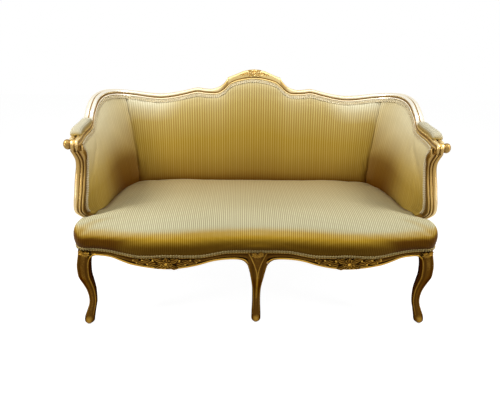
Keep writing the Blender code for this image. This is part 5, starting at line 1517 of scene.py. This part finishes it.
@dataclass
class Gimp(Assembly):
    """Scalloped braid: a flat tape with two wavy cords crossing along it."""

    width: float = 0.0142
    thickness: float = 0.0020
    pitch: float = 0.0100
    cord: float = 0.0020
    tape: Table = (
        (-1.0, 0.0, 0.8), (-1.0, 0.5, 0.5), (-0.5, 0.85, 0.2), (0.0, 0.7, 0.5), (0.5, 0.85, 0.2),
        (1.0, 0.5, 0.5), (1.0, 0.0, 0.8),
    )

    def lay(self, name: str, centre: Array, across: Array, out: Array) -> Piece:
        """Braid along a line on a surface.

        Args:
            name: Name of the piece.
            centre: Middle of its back, as even points.
            across: Way across it on the surface.
            out: Way off the surface.

        Returns:
            The braid.
        """
        across, out = unit(across), unit(out)
        phase = 2 * math.pi * lengths(centre) / self.pitch
        gap = 0.5 + 0.5 * np.cos(phase)
        side, proud, groove = np.array(self.tape).T
        reach = (self.width / 2 * (0.92 - 0.34 * gap))[:, None] * side
        height = proud * self.thickness * (1.15 - 0.7 * gap)[:, None]
        rings = centre[:, None] + across[:, None] * reach[..., None] + out[:, None] * height[..., None]
        groove = np.clip(groove * 0.40 + 1.05 * (gap - 0.45)[:, None], 0.0, 1.0)
        pieces = [Bench.sweep(name, rings, groove, angle=80.0)]
        for sign in (-1.0, 1.0):
            sway = np.sin(phase / 2) * sign * (self.width / 2 - self.cord * 0.6)
            lift = self.thickness * (0.75 + 0.35 * np.cos(phase / 2) * sign)
            line = centre + across * sway[:, None] + out * lift[:, None]
            pieces.append(Bench.tube("cord", line, self.cord, 5, (0.85 * gap**1.5)[:, None]))
        return Bench.joined(name, pieces)

    def on_wall(self, name: str, start: float, end: float) -> Piece:
        """Braid just under the show wood between two path shares."""
        lines = self.lines
        path = lines.even(start, end, self.pitch / 6)
        middle = lines.cloth_top(path) - self.width / 2 - CLEAR
        below, centre, above = (
            lines.at(path, height, lines.pad_depth(path, lines.level(path, height)) + 0.0008)
            for height in middle + np.array((-0.004, 0.0, 0.004))[:, None]
        )
        across = unit(above - below)
        out = np.cross(across, np.gradient(centre, axis=0))
        out *= np.sign(np.einsum("ij,ij->i", out, lines.inward(path, middle)))[:, None]
        return self.lay(name, centre, across, out)

    def down_front(self) -> Piece:
        """Braid down the front edge of the right inside wing, in the angle beside the support."""
        lines = self.lines
        height = np.arange(lines.cloth_top(1.0) - 0.004, lines.seat_edge - 0.010, -self.pitch / 6)
        side = lines.inward(1.0, height)
        forward = quarter(side)
        centre = lines.wall(1.0, height) + side * (lines.support_width / 2 + 0.0036) + forward * 0.0040
        narrow = Gimp(lines, width=0.0100, pitch=0.0090)
        return narrow.lay("wing_front_gimp", centre, forward - side, forward + side)

    def on_seat(self) -> Piece:
        """Braid along the foot of the seat's cloth, on the lowest part of the skirt's swell."""
        lines = self.lines
        narrow = Gimp(lines, width=0.0110, pitch=0.0100, cord=0.0019)
        half, ways = Upholstery(lines).seat_rows()
        hung = np.linalg.norm(ways, axis=1) > 0.5
        rows = np.hstack([half[hung], ways[hung]])
        rows = np.concatenate([(rows * (*MIRROR, *MIRROR))[:0:-1], rows])
        run = lengths(rows[:, :2])
        keep = np.concatenate([[True], np.diff(run) > 1e-7])
        at = np.linspace(0.0, run[-1], int(run[-1] / narrow.pitch * 6))
        rows = np.stack([np.interp(at, run[keep], column) for column in rows[keep].T], axis=1)
        plan, out = rows[:, :2], unit(rows[:, 2:])
        low = lines.hem_height(plan[:, 0]) + 0.0005
        tall = lines.seat_edge - low
        bulge = np.interp(narrow.width / 2 / tall, (0.0, 0.07, 0.16), (0.0, 0.28, 0.56)) * lines.skirt_bulge
        centre = np.column_stack([plan + out * (bulge + 0.0020)[:, None], low + narrow.width / 2])
        lean = (lines.skirt_bulge * 0.56 / 0.16 / tall)[:, None]
        across = np.column_stack([out * lean * 0.4, np.ones(len(out))])
        return narrow.lay("seat_gimp_scalloped", centre, across, np.column_stack([out, -lean * 0.25]))

    def build(self) -> None:
        """Makes all the braid."""
        self.dress(self.on_wall("back_gimp_scalloped", -0.5, 0.5), WALL_BRAID, "back_gimp")
        wing = Bench.joined("wing_gimp", [self.on_wall("wing_gimp", 0.5003, 1.0), self.down_front()])
        self.pair(wing, "SIDE_wing_gimp_scalloped", WALL_BRAID, "SIDE_wing_gimp")
        self.dress(self.on_seat(), SHADED_SEAT_BRAID, "seat_gimp")


@dataclass
class Carving(Assembly):
    """Flowers, leaves and beads carved on the crest and the front rail."""

    leaf_width: float = 0.55

    def leaf(self) -> Piece:
        """A curled leaf one metre long along X from the origin, with a raised rib and turned-up edges."""
        along, across = np.linspace(0.0, 1.0, 9), np.linspace(-1.0, 1.0, 7)
        spread = np.sin(math.pi * np.clip(along, 0.02, 0.985)) ** 0.65 * (1.15 - 0.45 * along)
        u, v = np.meshgrid(along, across, indexing="ij")
        lobes = 1.0 + 0.13 * np.cos(u * 21.0)
        x = u + 0.06 * np.abs(v) * (1 - u)
        y = v * self.leaf_width / 2 * spread[:, None] * lobes + 0.10 * self.leaf_width * np.sin(u * 3.0)
        z = (0.42 + 0.58 * np.sin(math.pi * u * 0.92)) * (0.62 + 0.38 * hill(v, 0.0, 0.28) + 0.22 * v**4)
        rings = np.concatenate([xyz(x, y, z), xyz(x, y, -0.0006)[:, ::-1]], axis=1)
        groove = np.clip(hill(np.abs(v), 0.45, 0.25) + 0.5 * (1 - ease(u / 0.3)), 0.0, 1.0)
        groove = np.concatenate([groove, np.full_like(groove, 0.8)], axis=1)
        return Bench.sweep("leaf", rings, groove, angle=60.0)

    def berry(self) -> Piece:
        """A carved berry of one metre's radius, a little flattened."""
        bpy.ops.mesh.primitive_uv_sphere_add(segments=10, ring_count=7, radius=1.0)
        piece = Bench.taken("berry")
        Bench.opened(piece)
        bpy.ops.transform.resize(value=(1.0, 1.0, 0.8))
        bpy.ops.object.mode_set(mode="OBJECT")
        bpy.ops.object.shade_smooth()
        Bench.paint(piece, "groove", -Bench.points(piece)[:, 2])
        return piece

    def spray(
        self, name: str, place: Callable[[float, float], Matrix], half: float, tall: float, depth: float,
    ) -> Piece:
        """A flower between two leaf sprays, set on a face.

        Args:
            name: Name of the piece.
            place: The face's frame at a distance along it and across it.
            half: Half of the whole length.
            tall: Half of the flower's height.
            depth: How far it stands out.

        Returns:
            The carving.
        """
        leaf, berry = self.leaf(), self.berry()
        made: list[Piece] = []

        def put(
            source: Piece, x: float, y: float, turn: float, size: Sequence[float], lift: float = 0.0,
        ) -> None:
            """A copy of a leaf or berry on the face."""
            spin, scale = Matrix.Rotation(turn, 4, "Z"), Matrix.Diagonal((*size, 1.0))
            raised = place(x, y) @ Matrix.Translation((0.0, 0.0, lift))
            made.append(Bench.copy(source, name, raised @ spin @ scale))

        for start, long, wide, deep, lift in ((0.0, 0.98, 1.75, 0.85, 0.15), (0.5, 0.55, 0.90, 0.75, 0.45)):
            for turn in math.pi / 2 + turns(5, start):
                put(leaf, 0.0, 0.0, turn, (tall * long, tall * wide, depth * deep), depth * lift)
        put(berry, 0.0, 0.0, 0.0, (tall * 0.22, tall * 0.22, depth * 0.4), depth * 0.95)
        count, span = 4, half - tall * 1.5
        for side, base in ((-1.0, math.pi), (1.0, 0.0)):
            for flip, reach in ((1.0, 1.55), (-1.0, 1.45)):
                size = (tall * reach, tall * 1.35, depth * 0.85)
                put(leaf, side * tall * 0.35, flip * tall * 0.30, base + flip * side * 0.34, size)
            for k in range(count):
                share, flip = k / count, 1.0 if k % 2 else -1.0
                x, long = side * (tall * 1.25 + span * share), span / count * (1.75 - 0.35 * share)
                size = (long, long * 1.05 * (1 - 0.3 * share), depth * (0.70 - 0.22 * share))
                put(leaf, x, -flip * tall * 0.05, base + flip * side * 0.30, size)
                y, radius = -flip * tall * 0.36 * (1 - 0.5 * share), tall * 0.17 * (1.0 - 0.35 * share)
                put(berry, x + side * long * 0.45, y, 0.0, (radius,) * 3, depth * 0.2)
            put(berry, side * half, 0.0, 0.0, (tall * 0.11,) * 3, depth * 0.1)
        for source in (leaf, berry):
            bpy.data.objects.remove(source, do_unlink=True)
        return Bench.joined(name, made)

    def frame_at(self, point: Array, along: Array, up: Array) -> Matrix:
        """A frame on a face from its point and its two ways."""
        along = unit(along)
        out = unit(np.cross(along, up))
        frame = Matrix.Identity(4)
        for column, way in enumerate((along, np.cross(out, along), out)):
            frame.col[column][:3] = way
        frame.translation = Vector(point)
        return frame

    def on_line(self, line: Callable[[float], Array], at: float, step: float, up: float) -> Matrix:
        """A frame on a face that runs along a line, raised across it."""
        before, point, after = (line(place) for place in (at - step, at, at + step))
        return self.frame_at(point, after - before, UP) @ Matrix.Translation((0.0, up, 0.0))

    def build(self) -> None:
        """Makes the flower and leaves on the crest and on each swell of the front rail."""
        lines = self.lines
        share_length = float(np.linalg.norm(lines.wall(0.02, 0.85) - lines.wall(0.0, 0.85))) / 0.02
        middle = lines.half_seat / 2

        def crest(share: float) -> Array:
            """A point on the crest's face."""
            under = lines.head_under(share)
            rise = 0.010 + (lines.lip_height(share) - 0.010) * 0.56
            return lines.at(share, under, 0.0155) + UP * rise

        def apron(x: float) -> Array:
            """A point on the front rail's face."""
            height = (lines.frame_bottom + lines.apron_bottom(x)) / 2 - 0.003
            return np.array((x, lines.front_edge(x) - 0.0030, height))

        flower = self.spray(
            "crest_flower", lambda x, y: self.on_line(crest, x / share_length, 0.004, y),
            half=0.070, tall=0.0165, depth=0.0080,
        )
        self.dress(flower, LIT_GILT, "crest_carving")
        flower = self.spray(
            "apron_flower", lambda x, y: self.on_line(apron, middle + x, 0.002, y),
            half=0.122, tall=0.0255, depth=0.0085,
        )
        self.pair(flower, "SIDE_apron_flower", SHADED_GILT, "SIDE_apron_carving")


@dataclass
class HiddenFrame(Assembly):
    """The timber, webbing, backing cloths and metal that the upholstery hides or the underside shows."""

    strip_width: float = 0.050
    grains: tuple[tuple[str, Grain], ...] = (
        ("rear_centre_leg", Grain.UPRIGHT), ("rear_SIDE_leg", Grain.UPRIGHT),
        ("SIDE_rear_rail", Grain.ACROSS), ("SIDE_side_rail", Grain.DEEP), ("seat_stretcher", Grain.DEEP),
        ("SIDE_back_stay_rail", Grain.ACROSS), ("SIDE_arm_stay_rail", Grain.DEEP),
        ("SIDE_front_brace", Grain.ACROSS), ("SIDE_rear_brace", Grain.ACROSS),
    )

    def timber(self, nodes: dict[str, Piece]) -> None:
        """Gives the frame's own solids their wood, and the metal its steel."""
        finishes = {
            name.replace("SIDE", side): BEECH[grain]
            for name, grain in self.grains for side in ("left", "right")
        }
        for name, piece in nodes.items():
            finish = STEEL if name.endswith(("glide", "screw")) else finishes.get(name)
            if finish:
                piece.data.materials.clear()
                piece.data.materials.append(finish.material)

    def backing(self) -> None:
        """The hessian behind the back and wing pads."""
        lines, upholstery = self.lines, Upholstery(self.lines)
        foot, seam = lines.deck + lines.gap, lines.gap / 2
        inner = lines.rail_thickness / 2 + 0.0005

        def sheet(name: str, start: float, end: float) -> Piece:
            """A thin even sheet behind the pads."""
            return upholstery.slab(name, start, end, foot, lambda path, level: inner + 0.0011, inner, 8)

        back = self.dress(sheet("back_backing", seam - 0.5, 0.5 - seam), JUTE, "back_hessian")
        self.stretched([back], upholstery.girth(seam - 0.5, 0.5 - seam), "rear_centre_leg")
        start, end = 0.5 + seam, lines.sway_start
        wings = self.pair(sheet("wing", start, end), "SIDE_wing_backing", JUTE, "SIDE_wing_hessian")
        self.stretched(wings, upholstery.girth(start, end), "rear_centre_leg")

    def flat_cloth(
        self, name: str, finish: Finish, node: str, half: Array, bottom: float, thickness: float,
    ) -> None:
        """A thin cloth under the seat: a filled face, given its thickness.

        Args:
            name: Name of the piece.
            finish: Its finish.
            node: The CAD node that it stands for.
            half: Right half of its outline.
            bottom: Height of its lower face.
            thickness: Its thickness.
        """
        outline = np.concatenate([half, (half * MIRROR)[:0:-1]])
        bpy.ops.mesh.primitive_circle_add(vertices=len(outline), radius=1.0, fill_type="NGON")
        piece = Bench.taken(name)
        points = np.column_stack([outline, np.full(len(outline), bottom)])
        piece.data.vertices.foreach_set("co", points.reshape(-1))
        piece.data.update()
        Bench.opened(piece)
        bpy.ops.mesh.normals_make_consistent(inside=False)
        bpy.ops.mesh.extrude_region_move(TRANSFORM_OT_translate={"value": (0.0, 0.0, thickness)})
        Bench.turned_out()
        low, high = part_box(node)
        self.stretched([self.dress(piece, finish, node)], high.x - low.x, "seat_stretcher")

    def flat_cloths(self) -> None:
        """The seat's hessian and the black cloth under the frame."""
        lines = self.lines
        path = lines.even(0.0, 1.0, 0.02, lines.rail_top)
        low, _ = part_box("seat_hessian")
        half = lines.at(path, lines.rail_top, lines.support_width / 2 + 0.0005)[:, :2]
        half = np.concatenate([half, [(half[-1, 0] - 0.008, low.y + 0.03), (lines.leg_x - 0.03, low.y)]])
        self.flat_cloth("seat_backing", JUTE, "seat_hessian", half, low.z, 0.0011)
        low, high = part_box("dust_cover")
        half = lines.at(path, lines.frame_bottom, lines.rail_thickness / 2 + 0.0006)[:, :2]
        half = np.concatenate([half, [(high.x - 0.030, low.y)]])
        self.flat_cloth("underside_cloth", CAMBRIC, "dust_cover", half, low.z, 0.0009)

    def webbing(self) -> None:
        """Strips of webbing laid across each other, all at one level."""
        lines = self.lines
        low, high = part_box("seat_webbing")
        level, strips = low.z + 0.0006, []
        for share in (-0.15, -0.32, -0.49, -0.66, 0.15, 0.32, 0.49, 0.66):
            centre = xyz(share * lines.leg_x, np.linspace(low.y, high.y, 40), level)
            strips.append(self.strip(centre, np.array((1.0, 0.0, 0.0)), 0.0004))
        for share in (0.67, 0.75, 0.83):
            x, y, _ = lines.wall(share, lines.rail_top)
            centre = xyz(np.linspace(-x, x, 60), y, level)
            strips.append(self.strip(centre, np.array((0.0, 1.0, 0.0)), 0.0005))
        piece = self.dress(Bench.joined("seat_webbing_woven", strips), JUTE, "seat_webbing")
        self.stretched([piece], high.x - low.x, "seat_stretcher")

    def strip(self, centre: Array, across: Array, half: float) -> Piece:
        """One strip of webbing."""
        corners = np.array(((-1.0, -1.0), (1.0, -1.0), (1.0, 1.0), (-1.0, 1.0)))
        section = across * (corners[:, :1] * self.strip_width / 2) + UP * (corners[:, 1:] * half)
        return Bench.sweep("strip", centre[:, None] + section)

    def build(self, nodes: dict[str, Piece]) -> None:
        """Dresses and makes the hidden pieces."""
        self.timber(nodes)
        self.backing()
        self.flat_cloths()
        self.webbing()


# Camera, light and surroundings
@dataclass(frozen=True)
class Lamp:
    """A soft lamp: its place, the point that it is aimed at, its two sizes and its power."""

    name: str
    place: tuple[float, float, float]
    target: tuple[float, float, float]
    size: tuple[float, float]
    power: float

    def light(self) -> None:
        """Puts the lamp in the scene."""
        data = bpy.data.lights.new(self.name, "AREA")
        data.shape, data.energy = "RECTANGLE", self.power
        data.size, data.size_y = self.size
        lamp = bpy.data.objects.new(self.name, data)
        bpy.context.scene.collection.objects.link(lamp)
        way = Vector(self.target) - Vector(self.place)
        lamp.matrix_world = Matrix.Translation(self.place) @ way.to_track_quat("-Z", "Y").to_matrix().to_4x4()


@dataclass
class Studio:
    """The camera, the lamps, the floor and the white surroundings."""

    lines: SetteeLines
    offset: float = -0.075
    distance: float = 1.389
    height: float = 1.060
    pitch: float = 20.79
    yaw: float = 1.75
    roll: float = 1.0
    lens: float = 30.0
    lamps: tuple[Lamp, ...] = (
        Lamp("overhead", (0.0, -0.25, 2.15), (0.0, -0.05, 0.5), (2.2, 0.6), 14.0),
        Lamp("front_high", (0.0, -1.30, 2.20), (0.0, -0.1, 0.5), (1.6, 0.4), 5.0),
        Lamp("left_high", (-1.5, -0.55, 1.75), (0.55, 0.0, 0.65), (0.5, 0.5), 30.0),
        Lamp("right_high", (1.5, -0.55, 1.75), (-0.55, 0.0, 0.65), (0.5, 0.5), 23.0),
        Lamp("front_fill", (-0.5, -2.6, 1.8), (0.0, 0.0, 0.5), (1.2, 0.8), 3.0),
        Lamp("left_strip", (-2.0, -0.9, 0.9), (0.0, 0.0, 0.45), (0.16, 1.3), 8.0),
        Lamp("right_strip", (2.0, -0.9, 0.9), (0.0, 0.0, 0.45), (0.16, 1.3), 8.0),
    )

    def camera(self) -> None:
        """Puts the camera where the photograph was taken from."""
        data = bpy.data.cameras.new("camera")
        data.lens, data.sensor_width = self.lens, 36.0
        camera = bpy.data.objects.new("camera", data)
        bpy.context.scene.collection.objects.link(camera)
        camera.matrix_world = (
            Matrix.Translation((self.offset, self.lines.shift - self.distance, self.height))
            @ Matrix.Rotation(math.radians(-self.yaw), 4, "Z")
            @ Matrix.Rotation(math.radians(90 - self.pitch), 4, "X")
            @ Matrix.Rotation(math.radians(self.roll), 4, "Z")
        )
        bpy.context.scene.camera = camera

    def glow(self, nodes: Nodes, unseen: float, seen: float) -> Socket:
        """A strength for rays from the camera, gloss and glass, and another for all the rest."""
        rays = nodes.add("LightPath").outputs
        total = nodes.math("MAXIMUM", rays["Is Camera Ray"], rays["Is Glossy Ray"])
        total = nodes.math("MAXIMUM", total, rays["Is Transmission Ray"])
        return nodes.spread(total, 0.0, 1.0, unseen, seen)

    def surroundings(self) -> None:
        """White to the camera and to gloss, dimmer as light, over a white floor that keeps a soft shadow."""
        world = bpy.data.worlds.new("white_room")
        bpy.context.scene.world = world
        nodes = Nodes(world)
        background = nodes.tree.nodes["Background"]
        nodes.feed(background.inputs["Color"], (1.0, 1.0, 1.0))
        nodes.feed(background.inputs["Strength"], self.glow(nodes, 0.10, 1.0))
        bpy.ops.mesh.primitive_plane_add(size=14.0, location=(0.0, 0.0, 0.0))
        floor = Bench.taken("studio_floor")
        material = bpy.data.materials.new("floor_white")
        nodes = Nodes(material)
        nodes.set(
            base_color=(0.30, 0.30, 0.30), roughness=0.9, specular_ior_level=0.0,
            emission_color=(1.0, 1.0, 1.0), emission_strength=self.glow(nodes, 0.0, 0.96),
        )
        floor.data.materials.append(material)

    def build(self) -> None:
        """Sets up the whole studio."""
        self.camera()
        self.surroundings()
        for lamp in self.lamps:
            lamp.light()
        bpy.context.scene.view_settings.view_transform = "Standard"


def main() -> None:
    """Builds the settee's looks in order."""
    logging.basicConfig(level=logging.INFO, format="%(message)s")
    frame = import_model()
    low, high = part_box("front_centre_glide")
    form = Undercarriage.centre
    shift = (low.y + high.y) / 2 - SetteeLines.corner_radius + form.reach * form.shares[0][1]
    lines = SetteeLines(shift=shift)
    Studio(lines).build()
    for assembly in (ShowWood, Undercarriage, Upholstery, Gimp, Carving):
        assembly(lines).build()
    HiddenFrame(lines).build(frame["nodes"])


if __name__ == "__main__":
    main()
